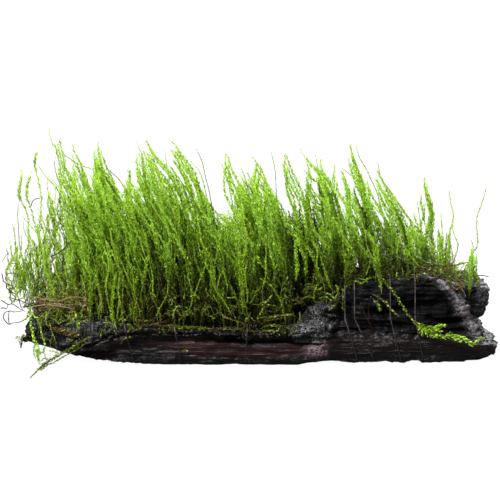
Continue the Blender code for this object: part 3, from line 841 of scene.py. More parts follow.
# %% Moss finish
# The colours of fresh, cool and brown shoots, from the foot in painted shade to the young tip.
FRESH = [
    (0.0, (0.014, 0.012, 0.004)), (0.12, (0.046, 0.053, 0.008)), (0.30, (0.150, 0.222, 0.016)),
    (0.55, (0.300, 0.500, 0.018)), (0.80, (0.400, 0.640, 0.032)), (1.0, (0.500, 0.740, 0.080)),
]
COOL = [
    (0.0, (0.010, 0.012, 0.004)), (0.12, (0.032, 0.048, 0.008)), (0.30, (0.100, 0.188, 0.018)),
    (0.55, (0.215, 0.450, 0.024)), (0.80, (0.310, 0.600, 0.042)), (1.0, (0.420, 0.700, 0.110)),
]
BROWN = [
    (0.0, (0.010, 0.005, 0.003)), (0.25, (0.035, 0.018, 0.006)), (0.5, (0.110, 0.062, 0.015)),
    (0.75, (0.280, 0.180, 0.072)), (1.0, (0.480, 0.345, 0.190)),
]
LIGHT_THROUGH = 0.45

moss_finish, tree = empty_material("wet_moss")
uv_place = add_node(tree, "ShaderNodeUVMap", {"uv_map": "OFBake"}).outputs[0]
split_uv = add_node(tree, "ShaderNodeSeparateXYZ", Vector=uv_place)
# u is the tint; v is height and age, with painted light and shade in it.
tint, age_and_shade = split_uv.outputs[0], split_uv.outputs[1]
freshness = ramp(tree, tint, [(0.1, 0.0), (0.7, 1.0)])
green = blend_colours(tree, freshness, ramp(tree, age_and_shade, COOL), ramp(tree, age_and_shade, FRESH))
brownness = ramp(tree, tint, [(0.80, 0.0), (0.90, 1.0)])
moss_colour = blend_colours(tree, brownness, green, ramp(tree, age_and_shade, BROWN))
surface = add_node(
    tree, "ShaderNodeBsdfPrincipled", Base_Color=moss_colour, Roughness=0.32, Specular_IOR_Level=0.4,
)
glow = add_node(tree, "ShaderNodeBsdfTranslucent", Color=moss_colour)
mixed = add_node(tree, "ShaderNodeMixShader", Fac=LIGHT_THROUGH)
tree.links.new(surface.outputs[0], mixed.inputs[1])
tree.links.new(glow.outputs[0], mixed.inputs[2])
to_output(tree, mixed.outputs[0])
print("moss finish with", len(tree.nodes), "nodes")

# %% [markdown]
# ## The curtain of shoots
#
# The clumps' outline is what anyone sees first: tufts that rise and lean to the left, with deep notches
# between them. Random heights would blur it. The outline is written down as a row of the photograph for a
# number of its columns. A shoot is given a foot on the wood, leans as the moss leans there, and stops where
# the outline says, or lower. Few reach the top: most end half way, and these give the clump its dense,
# shaded foot.

# %% The outline of the moss
# The moss's upper edge in the photograph, (column, row).
OUTLINE = np.array((
    (4, 330), (9, 300), (12, 262), (14, 248), (18, 222), (22, 200), (28, 196), (34, 196), (38, 190),
    (44, 180), (50, 168), (55, 163), (59, 156), (63, 163), (68, 175), (72, 164), (77, 166), (82, 171),
    (88, 167), (93, 158), (98, 150), (102, 158), (106, 172), (113, 184), (121, 189), (128, 176), (132, 166),
    (137, 154), (142, 151), (147, 150), (152, 158), (157, 164), (163, 171), (168, 174), (172, 174),
    (177, 178), (182, 180), (187, 176), (192, 178), (197, 184), (202, 190), (207, 200), (212, 209),
    (217, 212), (223, 213), (228, 208), (232, 196), (236, 184), (240, 178), (245, 174), (250, 176),
    (254, 170), (259, 174), (265, 176), (270, 182), (274, 194), (278, 203), (283, 212), (289, 214),
    (294, 206), (299, 194), (304, 186), (309, 178), (315, 172), (321, 172), (326, 180), (331, 186),
    (336, 178), (341, 176), (346, 180), (350, 168), (354, 166), (359, 170), (364, 178), (369, 180),
    (375, 180), (380, 182), (386, 188), (392, 195), (398, 204), (404, 213), (410, 220), (414, 221),
    (419, 214), (424, 200), (428, 198), (432, 210), (437, 228), (441, 228), (445, 244), (455, 256),
    (462, 262), (467, 256), (472, 246), (477, 246), (480, 262), (484, 290), (490, 320), (499, 335),
), float)
# The columns of the tufts' tips.
TUFTS = np.array((
    22, 36, 50, 59.5, 72.7, 84, 97, 106, 128.5, 137, 147, 163, 171, 184, 195, 226, 238.6, 253, 266, 287, 299,
    309, 319, 336, 345, 354, 365, 378, 392, 414, 426, 441, 471,
))
# How far the shoots lean for each millimetre of their height, (x, lean along X).
LEAN = np.array((
    (-80, -0.03), (-66, -0.06), (-54, -0.16), (-40, -0.22), (0, -0.20), (26, -0.24), (44, -0.30),
    (54, -0.10), (62, 0.0), (70, 0.0),
))


def highest_tip(x, y, z):
    """How high a tip at (x, y) may be: the outline's row at the tip's column, followed to depth y."""
    column = to_photo(np.stack((x, y, z), -1))[0]
    return from_photo(column, np.interp(column, *OUTLINE.T), y)[..., 2]


print("outline of", len(OUTLINE), "points and", len(TUFTS), "tufts")

# %% Feet of the shoots
# Each clump's ground, (x from, x to, y from, y to).
CLUMPS = {
    "moss_left_end": (-75.6, -52.8, -13.5, 15),
    "moss_left": (-52.8, -42.6, -18, 16),
    "moss_left_middle": (-42.6, -27.0, -18.5, 17),
    "moss_middle_left": (-27.0, -3.6, -18.5, 17),
    "moss_middle": (-3.6, 12.0, -18.5, 17),
    "moss_middle_right": (12.0, 27.5, -17, 17),
    "moss_right": (27.5, 41.2, -14, 15),
    "moss_right_crest": (41.2, 49.0, -13, 15),
    "moss_right_end": (49.0, 69.3, -9, 15),
}
FOOT_STEP = 1.38
# How deep a foot sits in the wood.
FOOT_DEPTH = 0.4
# Moss stands only where the wood is this high, (x, z).
LOWEST_GROUND = np.array((
    (-80, 11), (-62, 11), (-56, 3), (16, 3), (20, 11.5), (24, 14), (30, 18), (45, 20), (56, 21.5), (75, 21),
), float)
# At the two ends the moss is thin, (x, share of the feet kept).
FEET_KEPT = np.array((
    (-80, 0.30), (-70, 0.36), (-64, 0.44), (-59, 0.42), (-52, 0.74), (-44, 1), (4, 0.95), (18, 0.85),
    (24, 0.68), (30, 0.54), (44, 0.47), (54, 0.42), (61, 0.34), (75, 0.45),
))


def bare_bark(x, y):
    """True on the crust's rough right end, where nothing grows."""
    return (x > 11.0) & (x < 24.5) & (y < -5.5) & (ground(x, y) < 17.3)


def feet_in(span, chance):
    """Random feet, one in each small square of the clump's ground, so that they are even but not in rows."""
    x_from, x_to, y_from, y_to = span
    x_steps, y_steps = np.arange(x_from, x_to, FOOT_STEP), np.arange(y_from, y_to, FOOT_STEP)
    corners = np.stack(np.meshgrid(x_steps, y_steps, indexing="ij"), -1).reshape(-1, 2)
    feet = corners + chance.random((len(corners), 2)) * FOOT_STEP
    feet = feet[~bare_bark(*feet.T)]
    x, y = feet.T
    kept = np.interp(x, *FEET_KEPT.T) * (0.75 + 0.25 * smooth_step(2, 10, -y))
    high_enough = ground(x, y) > np.interp(x, *LOWEST_GROUND.T)
    return feet[(chance.random(len(feet)) < kept) & high_enough]


print("the moss stands in", len(CLUMPS), "clumps")

# %% Paths and tips of the shoots
PATH_RINGS = 12
# Two waves sway a shoot, (length, height) in mm.
WAVES = ((26.0, 1.15), (11.0, 0.38))
# A shoot rises straight first and leans more and more, by this power.
LEAN_LATE = 2.1
# A shoot's height before the outline has been read at its tip.
GUESSED_HEIGHT = 35


def wandering_paths(feet, tips, chance):
    """Paths from feet to tips: height grows with s, the lean with s ** LEAN_LATE, and two sines sway it."""
    s = np.linspace(0, 1, PATH_RINGS)[None, :, None]
    rise = (tips - feet)[:, None]
    share = np.concatenate((s ** LEAN_LATE, s ** LEAN_LATE, s), -1)
    paths = feet[:, None] + rise * share
    length = np.linalg.norm(tips - feet, axis=1)[:, None, None]
    calm_foot = smooth_step(0, 0.25, s)
    for wave_mm, height in WAVES:
        wave = wave_mm * chance.uniform(0.8, 1.3, (len(feet), 1, 1))
        phase = chance.random((len(feet), 1, 2)) * FULL_TURN
        at_tip = np.sin(length / wave * FULL_TURN + phase)
        swing = np.sin(s * length / wave * FULL_TURN + phase) - at_tip * s ** 3
        paths[..., :2] += swing * height * calm_foot
    return paths


def curtain(span, chance):
    """Paths of a clump's shoots, and how high each ring of a path is as a share of the outline's height."""
    x, y = feet_in(span, chance).T
    z = ground(x, y) - FOOT_DEPTH
    tall = highest_tip(x, y, z + GUESSED_HEIGHT) - z
    fraction = 0.26 + 0.74 * chance.random(len(x)) ** 1.15
    tip_x = x + np.interp(x, *LEAN.T) * tall * fraction + chance.normal(0, 0.07, len(x)) * tall * fraction
    tip_y = y + chance.normal(0, 0.08, len(x)) * tall * fraction
    column = to_photo(np.stack((tip_x, tip_y, z + tall), -1))[0]
    nearest = TUFTS[np.abs(column[:, None] - TUFTS).argmin(1)]
    pull = 0.6 * smooth_step(0.55, 0.9, fraction)
    tip_x = tip_x + np.clip((nearest - column) * PIXEL_MM, -3.0, 3.0) * pull
    limit = highest_tip(tip_x, tip_y, z + tall) - z
    stands = limit > 3
    tip_z = z + np.maximum(limit, 3) * fraction
    feet, tips = np.stack((x, y, z), -1)[stands], np.stack((tip_x, tip_y, tip_z), -1)[stands]
    paths = wandering_paths(feet, tips, chance)
    limit = limit[stands]
    return paths, np.clip((paths[..., 2] - feet[:, None, 2]) / limit[:, None], 0, 1)


print("a path has", PATH_RINGS, "rings")

# %% Shades and tints of the shoots
# Painted light and shade: how light the upper and the lower half of the moss are painted at (x, upper, lower).
LIGHT = np.array((
    (-76, 1.05, 1.05), (-66, 1.05, 1.30), (-60, 1.32, 1.80), (-54, 1.48, 1.50), (-44, 1.28, 1.15),
    (-36, 1.30, 0.92), (-28, 1.14, 0.74), (-20, 0.88, 0.58), (-13, 0.82, 0.60), (-6, 1.10, 0.82),
    (3, 1.14, 0.82), (9, 0.92, 0.90), (14, 0.62, 0.60), (19, 1.05, 0.90), (23, 1.30, 0.95),
    (28, 1.25, 0.90), (34, 1.08, 1.0), (41, 1.10, 1.05), (47, 1.25, 1.12), (53, 1.35, 1.20),
    (60, 1.0, 0.95), (72, 1.0, 0.95),
))


def shades(paths, height, lit, chance):
    """How light each ring is: dark at the foot, partly for age and partly as painted shade,
    lighter with height, and lightest near the tip, partly for youth and partly as painted light.

    The lit ones, thin shoots at the front, are painted light down to their foot.
    """
    s = np.linspace(0, 1, paths.shape[1])
    own = np.clip(1 + chance.normal(0, 1, (len(paths), 1)) * (0.48 - 0.20 * height), 0.25, 1.9)
    shade = 0.045 + 0.58 * height + 0.26 * smooth_step(0.3, 1.0, s) * (0.4 + 0.6 * height)
    shade = np.where(lit[:, None], 0.40 + 0.34 * height, shade)
    # Painted light: the thin ends of the moss are lighter, as if light came through them.
    ends = 1 + 0.58 * smooth_step(20, 44, paths[..., 0]) + 0.45 * smooth_step(50, 68, -paths[..., 0])
    lift = 0.10 * smooth_step(54, 66, -paths[..., 0]) + 0.08 * smooth_step(42, 56, paths[..., 0])
    # Painted light and shade from the LIGHT table, for the upper and the lower part of the moss.
    upper = smooth_step(0.15, 0.6, height)
    light_above, light_below = (np.interp(paths[..., 0], LIGHT[:, 0], LIGHT[:, half]) for half in (1, 2))
    light = light_above * upper + light_below * (1 - upper)
    # Painted shade and light in patches, darkest in the hollows, and painted light near the tips.
    hollows = 1 + 0.42 * fractal(paths, (3.4, 4.5, 11.0), 2, 101) * (1 - 0.75 * smooth_step(0.6, 0.9, height))
    tips = 0.08 * smooth_step(0.75, 1.0, height)
    return np.clip(shade * own * ends * light * hollows + lift + tips, 0.02, 0.94)


def foot_tints(tint, height, lit, chance):
    """The tint of each ring: the shoot's own tint, which turns towards olive and brown at its foot."""
    turn = (1 - smooth_step(0.06, 0.36, height)) * chance.uniform(0.0, 0.85, (len(tint), 1))
    turn = np.where(lit[:, None], 0.9 * (1 - smooth_step(0.15, 0.6, height)), turn)
    return tint[:, None] + (0.86 - tint[:, None]) * turn


print("the light changes at", len(LIGHT), "places along the moss")

# %% Grow the clumps
SHOOT = {"radius": 0.14, "leaf_length": 1.25, "leaf_width": 0.64, "spacing": 0.235, "slant": 0.78}
THIN_SHOOT = {"radius": 0.13, "leaf_length": 0.8, "leaf_width": 0.45, "spacing": 0.33, "slant": 0.55}
clump_parts = {}
chance = np.random.default_rng(2718)
for name, span in CLUMPS.items():
    paths, height = curtain(span, chance)
    # Some thin shoots at the front are lit: painted light down to their foot.
    lit = chance.random(len(paths)) < 0.40 * smooth_step(8, 14, -paths[:, 0, 1])
    shade = shades(paths, height, lit, chance)
    foot_x = paths[:, 0, 0]
    tint_of = np.clip(chance.normal(0.5, 0.16, len(paths)) + 0.26 * smooth_step(48, 66, -foot_x), 0.05, 0.81)
    at_ends = smooth_step(56, 66, -foot_x) + 0.6 * smooth_step(34, 48, foot_x)
    thin = lit | (chance.random(len(paths)) < 0.2 + 0.36 * at_ends)
    sizes = {key: np.where(thin, THIN_SHOOT[key], SHOOT[key]) for key in SHOOT}
    sizes["leaf_length"] = sizes["leaf_length"] * chance.uniform(0.8, 1.2, len(paths))
    ring_tints = foot_tints(tint_of, height, lit, chance)
    clump_parts[name] = [leafy(paths, shade, ring_tints, chance=chance, **sizes)]
    print(name, len(paths), "shoots,", len(clump_parts[name][0][1]), "triangles")

# %% [markdown]
# ## The tall shoots, one by one
#
# A few dozen shoots stand out against the white: the highest in each tuft, thin bare ones beside a notch,
# and some that bend far over. They make this moss this moss, so they are drawn one by one. Each is a list
# of marks in the photograph, from the tip down, at a chosen depth. The code follows them into space,
# carries the shoot on down to the wood beneath, and runs a smooth curve through it all.

# %% Smooth curves through marks
def smooth_path(points, rings):
    """Even rings on a curve through the points: cubics, whose slope is the mean of the two steps beside."""
    points = np.asarray(points, float)
    slope = np.gradient(points, axis=0)
    t = np.linspace(0, len(points) - 1, rings * 4)
    i = np.minimum(t.astype(int), len(points) - 2)
    f = (t - i)[:, None]
    curve = (2 * f ** 3 - 3 * f ** 2 + 1) * points[i] + (f ** 3 - 2 * f ** 2 + f) * slope[i]
    curve += (3 * f ** 2 - 2 * f ** 3) * points[i + 1] + (f ** 3 - f ** 2) * slope[i + 1]
    gone = np.concatenate(([0], np.cumsum(np.linalg.norm(np.diff(curve, axis=0), axis=1))))
    even = np.linspace(0, gone[-1], rings)
    return np.stack([np.interp(even, gone, axis) for axis in curve.T], -1)


# Feet stay between these x.
FIRST_FOOT, LAST_FOOT = -75.0, 69.5


def down_to_wood(marks, y):
    """A path from the wood up through the marks, whose last slope fades out on the way down to the ground."""
    seen = from_photo(*np.asarray(marks, float).T, y)
    step = seen[-1] - seen[-2]
    slope = np.clip(step[0] / max(-step[2], 0.5), -0.6, 0.6)
    foot_x = np.clip(seen[-1, 0] + slope * 4, FIRST_FOOT, LAST_FOOT)
    rest = seen[-1, 2] - ground(foot_x, y) + FOOT_DEPTH
    if rest < 2:
        return seen[::-1]
    t = np.linspace(0, 1, 5)[1:]
    drift = np.clip(slope * rest * 0.4, FIRST_FOOT - seen[-1, 0], LAST_FOOT - seen[-1, 0])
    below_x = seen[-1, 0] + drift * (2 * t - t ** 2)
    below = np.stack((below_x, np.full(len(t), float(y)), seen[-1, 2] - rest * t), -1)
    below[-1, 2] = ground(below[-1, 0], y) - FOOT_DEPTH
    return np.concatenate((seen, below))[::-1]


print("feet stay between x", FIRST_FOOT, "and", LAST_FOOT, "mm")

# %% Marks of the tall shoots
FULL, SLIM, THIN, FINE, BARE = "full", "slim", "thin", "fine", "bare"
# Each has its look, its depth y in mm, and its marks from the tip down, (column, row).
TALL_SHOOTS = [
    (THIN, 9, ((49, 126), (50, 136), (53, 145), (59, 151.5), (66, 156.5), (73, 160.6), (80, 165.6),
        (88, 168), (101, 173), (110, 184))),
    (FULL, 5, ((59.5, 138), (61, 146.5), (62.6, 153), (64.3, 161.4), (65, 170), (66.3, 174.7),
        (70.5, 180), (74.6, 186))),
    (SLIM, -2, ((36.5, 152), (35, 160), (34, 165), (36.5, 173), (39, 183), (41, 194), (41.5, 203),
        (40.6, 213))),
    (THIN, 3, ((37.3, 164), (43, 173), (49, 180), (54, 185), (58, 190))),
    (SLIM, -5, ((22, 166), (22, 176), (20, 186), (19.5, 195), (21.6, 202), (25, 209), (28, 217),
        (28.2, 226))),
    (BARE, -3, ((18.7, 203), (17.6, 213), (18.4, 223), (19, 233), (20, 246), (23, 262), (29, 280))),
    (SLIM, 1, ((32, 172), (28, 178), (27, 186), (26.5, 195), (27.4, 201), (31, 206), (32.3, 213),
        (34, 219), (36, 226))),
    (BARE, 6, ((55.6, 156.5), (54.3, 164), (55.6, 171.4), (57.2, 177), (60, 184))),
    (FULL, 7, ((73, 144), (71.7, 148.2), (74.6, 151.5), (77, 157), (80, 161.4), (82, 168), (84, 176),
        (87, 183), (90, 190), (93, 198), (96, 206))),
    (FULL, 0, ((98.3, 143), (97.8, 148.2), (99, 154), (100.3, 161.4), (102.8, 169.7), (105, 178),
        (107, 188))),
    (FULL, -6, ((94.5, 150), (94, 158), (94.8, 165), (96.2, 171.4), (98, 180), (100, 190))),
    (FULL, 4, ((100, 149), (102, 156), (105, 163), (108, 170), (112, 178))),
    (BARE, 8, ((103.6, 160), (107, 168), (112, 173), (117.7, 178), (122, 184), (126, 194))),
    (FULL, -3, ((127.8, 169), (129.9, 177), (129, 184), (130, 193))),
    (FULL, 2, ((146.5, 140.5), (148.5, 145), (152, 152), (157, 158), (163, 165), (170, 172.5),
        (175.5, 179), (179.5, 186), (182, 194))),
    (FULL, 4, ((148, 143), (151, 149), (155.5, 156), (160.5, 162), (166, 168), (171, 175), (175, 183))),
    (FULL, -4, ((149.8, 147), (152.5, 155), (154.5, 162), (156.6, 170), (159, 178), (160.6, 186.4))),
    (THIN, 6, ((136.5, 140.5), (139, 148), (142.3, 155), (144, 163), (146.5, 171.5), (149.8, 178))),
    (FULL, -7, ((141.5, 152), (142.5, 158), (143.5, 166), (145, 174), (147, 184))),
    (BARE, 5, ((135, 168), (138.2, 179), (141.5, 187.2), (144, 196))),
    (FULL, 0, ((171, 140.5), (176.3, 146), (180, 153), (184.6, 159), (189.6, 165), (193.7, 171.5),
        (197, 178), (199.5, 188))),
    (FULL, 3, ((175, 147), (179, 153), (183.5, 160), (188, 166.5), (192, 174), (195, 182))),
    (THIN, 7, ((188, 159), (192, 163), (196.2, 166.5), (200.4, 173), (203, 181))),
    (FULL, -6, ((172.6, 153), (178, 160.7), (181.3, 169), (186.3, 176.4), (189.6, 184))),
    (FULL, -2, ((173.4, 160), (178, 166.5), (182, 172.3), (185, 180))),
    (BARE, 2, ((194.6, 148), (198.7, 154), (202, 160.7), (204, 169), (205.4, 176.4), (208.3, 186.4),
        (210.3, 196.3), (212, 206))),
    (THIN, 8, ((164.5, 149), (165.5, 156), (166.4, 164), (168, 172))),
    (FULL, 3, ((225.7, 153), (225.3, 163.2), (225.7, 171.5), (226.9, 179.8), (230.2, 186.4),
        (232.7, 191.4))),
    (FULL, -4, ((227, 155), (230.2, 163.2), (232.7, 172.3), (237.7, 179.8), (241, 188))),
    (THIN, 6, ((218.6, 160), (222.8, 166.5), (226, 175), (228.5, 184))),
    (FULL, -2, ((241.5, 169), (244.5, 176.3), (246.8, 184), (248.4, 191.6))),
    (FULL, 1, ((253, 157), (257, 163), (256.4, 171.7), (253.7, 177.9), (254.5, 187), (257.5, 194.7))),
    (THIN, 5, ((254.5, 181), (260.6, 187.8), (266, 193), (270, 200))),
    (FULL, -5, ((259, 164), (261.5, 169), (264.4, 176.3), (266.7, 184), (270.6, 193))),
    (BARE, -1, ((270.3, 149.5), (273.2, 160.2), (275.1, 169.4), (275.9, 180), (276.3, 191.6),
        (276.7, 199))),
    (FULL, 0, ((285, 153.5), (284.7, 165.6), (284.3, 173.3), (286.6, 180), (289.7, 188.6),
        (292.7, 196.2), (295, 204))),
    (FULL, 4, ((286, 154.5), (288.9, 163), (292.7, 172.5), (295.8, 179.4), (299.6, 187), (303, 196))),
    (THIN, 7, ((300, 148.5), (304.2, 155.7), (307.3, 161), (312.6, 167.9), (318.8, 171), (322, 178))),
    (FULL, -3, ((306.5, 161), (308.8, 169.4), (308.4, 177.8), (306.5, 187), (306.5, 196.2))),
    (FULL, 3, ((307, 159), (313, 166), (320, 170.5), (326, 177), (331, 186), (335, 196))),
    (FULL, 6, ((257, 164), (254.5, 172), (253, 181), (255, 190))),
    (FULL, -6, ((247, 172), (251, 180), (254, 188), (258, 198), (262, 208))),
    (FULL, 2, ((321, 160), (321, 168), (324.1, 173.3), (328, 178.6), (331, 185.5))),
    (THIN, 9, ((315.5, 154), (316.5, 161), (317.5, 167), (318.5, 175))),
    (FULL, -6, ((316.5, 166), (318.5, 172), (320.3, 178), (323.3, 187), (325, 196))),
    (FULL, 5, ((334.8, 164), (334, 173.3), (332.5, 181), (332, 190))),
    (BARE, 8, ((340.2, 167), (346.6, 171.5), (354, 178), (359, 181.4), (364, 190), (366.5, 200))),
    (FULL, -1, ((341, 170), (344, 176.3), (346.3, 184), (347, 191))),
    (FULL, 1, ((350.3, 144), (351.6, 151.6), (354, 160), (356.5, 168), (360, 176.4), (363.2, 183),
        (365.7, 193), (366.5, 203))),
    (FULL, -4, ((352.5, 156), (355.5, 163), (358.5, 171), (361.5, 179), (364, 188))),
    (THIN, 5, ((356.5, 145.5), (359, 156.5), (363.2, 164), (367.3, 170.6), (370.6, 179), (374.8, 187.2),
        (378, 195.5))),
    (BARE, 3, ((376.4, 159.5), (379, 167.3), (379.8, 175), (383, 181.4), (387.2, 187.2), (392.2, 193.8),
        (397.2, 202), (403, 211.3), (409.6, 219.6), (416.2, 227), (419.6, 235.3), (422, 244.4))),
    (FULL, -2, ((383, 183), (386.5, 190), (390.5, 197), (395, 205), (399, 213))),
    (FULL, 2, ((377.5, 171), (381.5, 179), (386, 187), (391, 195), (396, 203), (401, 212))),
    (SLIM, 4, ((388, 187), (393, 194.5), (398, 202.5), (403.5, 211), (409, 219))),
    (SLIM, 0, ((393, 195), (399, 204), (405, 213), (411, 221), (416, 230))),
    (FULL, 1, ((379, 187), (383, 193), (387, 200.5), (390, 208))),
    (FULL, -1, ((413.7, 214), (416.2, 222), (419, 231))),
    (THIN, 4, ((417, 200), (418.7, 211), (420, 221))),
    (FULL, 0, ((424.7, 178), (424.5, 187.2), (427, 195), (427.4, 202), (429.5, 210), (430.3, 217),
        (429.5, 224), (430.5, 236))),
    (FULL, -3, ((426.5, 189), (429.5, 197), (431.5, 205), (431.5, 213), (429.5, 221))),
    (THIN, -1, ((441, 213), (441.5, 222), (442, 232))),
    (THIN, 0, ((449, 189), (450, 198), (451.5, 206), (453.5, 214), (452.7, 223), (449.4, 233),
        (447, 242), (446, 252))),
    (THIN, -3, ((452.5, 219), (452.7, 229.5), (455.2, 237), (457.7, 243.6), (456.9, 251), (454, 260))),
    (THIN, 0, ((486.5, 186), (484.6, 194), (481.3, 205.7), (477, 217.3), (476.7, 228), (477.5, 238),
        (477, 246.3), (472, 253.7), (468.8, 262))),
    (THIN, -4, ((470.5, 239), (473, 246), (471.5, 254), (468.5, 264))),
    (THIN, 2, ((476.3, 254.6), (477, 263), (476.7, 271))),
    (FULL, -5, ((469.5, 257), (470, 266), (470.5, 273), (470.5, 281))),
    (FULL, -6, ((473, 250), (472, 259), (471, 268), (470, 280))),
]
print(len(TALL_SHOOTS), "tall shoots are marked")

# %% Make the tall shoots
LOOKS = {
    FULL: SHOOT,
    SLIM: {"radius": 0.13, "leaf_length": 1.0, "leaf_width": 0.55, "spacing": 0.30, "slant": 0.7},
    THIN: {"radius": 0.15, "leaf_length": 0.8, "leaf_width": 0.46, "spacing": 0.3, "slant": 0.5},
    FINE: {"radius": 0.12, "leaf_length": 0.5, "leaf_width": 0.26, "spacing": 0.5, "slant": 0.5},
    BARE: {"radius": 0.24, "leaf_length": 0.6, "leaf_width": 0.3, "spacing": 0.7, "slant": 0.45},
}


def clump_at(x):
    """The name of the clump that stands at x."""
    for name, span in CLUMPS.items():
        if x < span[1]:
            return name
    return name


# Each full shoot left of this column has two shorter companions beside it, which make a tuft of it.
TUFTS_END = 440
COMPANIONS = 2
TALL_TINTS = {FULL: 0.55, SLIM: 0.62, THIN: 0.5, BARE: 0.84}
beside = []
for kind, y, marks in TALL_SHOOTS:
    in_tuft = kind == FULL and marks[0][0] < TUFTS_END
    beside.extend((kind, y, marks, number) for number in range(1 + COMPANIONS * in_tuft))
for kind, y, marks, number in beside:
    shift = np.array((chance.normal(0, 2.0), chance.uniform(5, 18))) * (number > 0)
    depth_there = y + chance.normal(0, 2.5) * (number > 0)
    path = smooth_path(down_to_wood(np.add(marks, shift), depth_there), 22)
    s = np.linspace(0, 1, len(path))
    path[:, 1] += (np.sin(s * 7 + marks[0][0]) - np.sin(marks[0][0])) * 1.2 * s
    height = s[None] if kind != BARE else s[None] * 0.45
    # Dark at the foot, partly as painted shade, and lighter towards the tip.
    shade = (0.32 if kind == SLIM else 0.16) + 0.70 * height ** 0.8
    tint_of = TALL_TINTS[kind] + chance.normal(0, 0.05 if kind != BARE else 0.01, 1)
    clump_parts[clump_at(path[0, 0])].append(leafy(path[None], shade, tint_of, chance=chance, **LOOKS[kind]))
print(len(TALL_SHOOTS), "tall shoots drawn by hand, with companions", len(beside))

# %% [markdown]
# ## The mat at the foot
#
# Under the upright shoots, old stems creep over the wood in all directions and hold the clump together.
# They are brown and olive, and they show along the edge of each clump. A path here is a line on the ground
# that wanders: its (x, y) comes from a start, a heading and a sine, and its z from the height map.

# %% Creeping stems
def creeping_paths(span, count, chance, length=(9, 20), lifted=0.9):
    """Wandering lines on the wood: start + heading * s + a sine across it, lifted just above the ground."""
    x_from, x_to, y_from, y_to = span
    start_x, start_y = chance.uniform(x_from, x_to, count), chance.uniform(y_from, y_to, count)
    start = np.stack((start_x, start_y), -1)[:, None]
    heading = chance.random(count)[:, None] * FULL_TURN
    ahead = np.stack((np.cos(heading), 0.7 * np.sin(heading)), -1)
    aside = np.stack((-np.sin(heading), np.cos(heading)), -1)
    gone = np.linspace(0, 1, PATH_RINGS)[None, :, None] * chance.uniform(*length, count)[:, None, None]
    phase = chance.random((count, 1, 1)) * FULL_TURN
    flat = start + ahead * gone + aside * (np.sin(gone / 9 * FULL_TURN + phase) - np.sin(phase)) * 1.1
    x = np.clip(flat[..., 0], x_from - 1, x_to + 1)
    y = np.clip(flat[..., 1], y_from - 0.5, y_to)
    lift = 0.35 + lifted * chance.random((count, 1)) * np.abs(np.sin(gone[..., 0] / 6 + phase[..., 0]))
    stays = (ground(x, y) > np.interp(x, *LOWEST_GROUND.T) - 1).all(1) & ~bare_bark(x, y).any(1)
    return np.stack((x, y, ground(x, y) + lift), -1)[stays]


STEMS_PER_MM = 4.6
CREEPER = {"radius": 0.13, "leaf_length": 0.85, "leaf_width": 0.42, "spacing": 0.42, "slant": 0.7}
for name, span in CLUMPS.items():
    paths = creeping_paths(span, int((span[1] - span[0]) * STEMS_PER_MM), chance)
    count = len(paths)
    brown = chance.random(count) < 0.5
    tint_of = np.where(brown, 0.93, 0.70) + chance.normal(0, 0.015, count)
    shade = np.clip(np.where(brown, 0.42, 0.30)[:, None] + chance.normal(0, 0.10, (count, 1)), 0.05, 0.8)
    clump_parts[name].append(leafy(paths, shade, tint_of, chance=chance, **CREEPER))

# At the left end a loose tangle stands on the mat, and pale old stems lie over it.
TANGLE_SPAN, TANGLE_STEMS = (-76, -54, -14, 4), 170
TAN_SPAN, TAN_STEMS, TAN_RAISED = (-73, -52, -12.5, -4), 80, 2.0
LOOSE_STEM = {"radius": 0.12, "leaf_length": 0.8, "leaf_width": 0.45, "spacing": 0.42, "slant": 0.8}
TAN_STEM = {"radius": 0.15, "leaf_length": 0.6, "leaf_width": 0.32, "spacing": 0.6, "slant": 0.6}
tangle = creeping_paths(TANGLE_SPAN, TANGLE_STEMS, chance, length=(6, 16), lifted=13.0)
tint_of = np.clip(chance.normal(0.83, 0.04, len(tangle)), 0.6, 0.95)
shade = np.clip(chance.normal(0.68, 0.20, (len(tangle), 1)), 0.15, 0.95)
clump_parts["moss_left_end"].append(leafy(tangle, shade, tint_of, chance=chance, **LOOSE_STEM))
tan_mat = creeping_paths(TAN_SPAN, TAN_STEMS, chance, length=(5, 12), lifted=4.5)
tan_mat[..., 2] += TAN_RAISED
shade = np.clip(chance.normal(0.90, 0.08, (len(tan_mat), 1)), 0.4, 0.97)
clump_parts["moss_left_end"].append(leafy(tan_mat, shade, 0.94, chance=chance, **TAN_STEM))
print("creeping stems laid, with", len(tangle), "in the tangle and", len(tan_mat), "pale ones")

# %% [markdown]
# ## The fringe over the front edge
#
# Along the front the mat spills over the crust. Short shoots start on top, reach the edge, and turn down or
# up. Their paths follow the ground forward to the edge and then hang just in front of the wood's face.

# %% Fringe
FRINGE_RINGS = 9
FRINGE_PER_MM = 0.8
FRINGE_SHOOT = {"radius": 0.10, "leaf_length": 0.9, "leaf_width": 0.42, "spacing": 0.34, "slant": 0.65}
# Clumps that reach past this x stand on the block, which has no fringe.
FRINGE_ENDS = 28


def fringe_paths(x_from, x_to, count, chance):
    """Paths forward over the ground to the front edge, then down before it by the length that is left."""
    x_start = chance.uniform(x_from, x_to, count)[:, None]
    gone = np.linspace(0, 1, FRINGE_RINGS)[None] * chance.uniform(2.5, 5.5, count)[:, None]
    x = x_start + gone * chance.normal(0, 0.35, (count, 1)) + 0.4 * np.sin(gone * 1.3 + x_start)
    edge = front_edge(x) + 0.8
    start_y = edge[:, :1] + chance.uniform(0.5, 4.0, (count, 1))
    y = np.maximum(start_y - gone, edge)
    past = np.maximum(edge - (start_y - gone), 0)
    z = ground(x, y) + 0.45 - past * chance.uniform(0.3, 0.9, (count, 1))
    y = np.minimum(y, face(x, z) - 0.4)
    return np.stack((x, y, z), -1)[~bare_bark(x, y).any(1)]


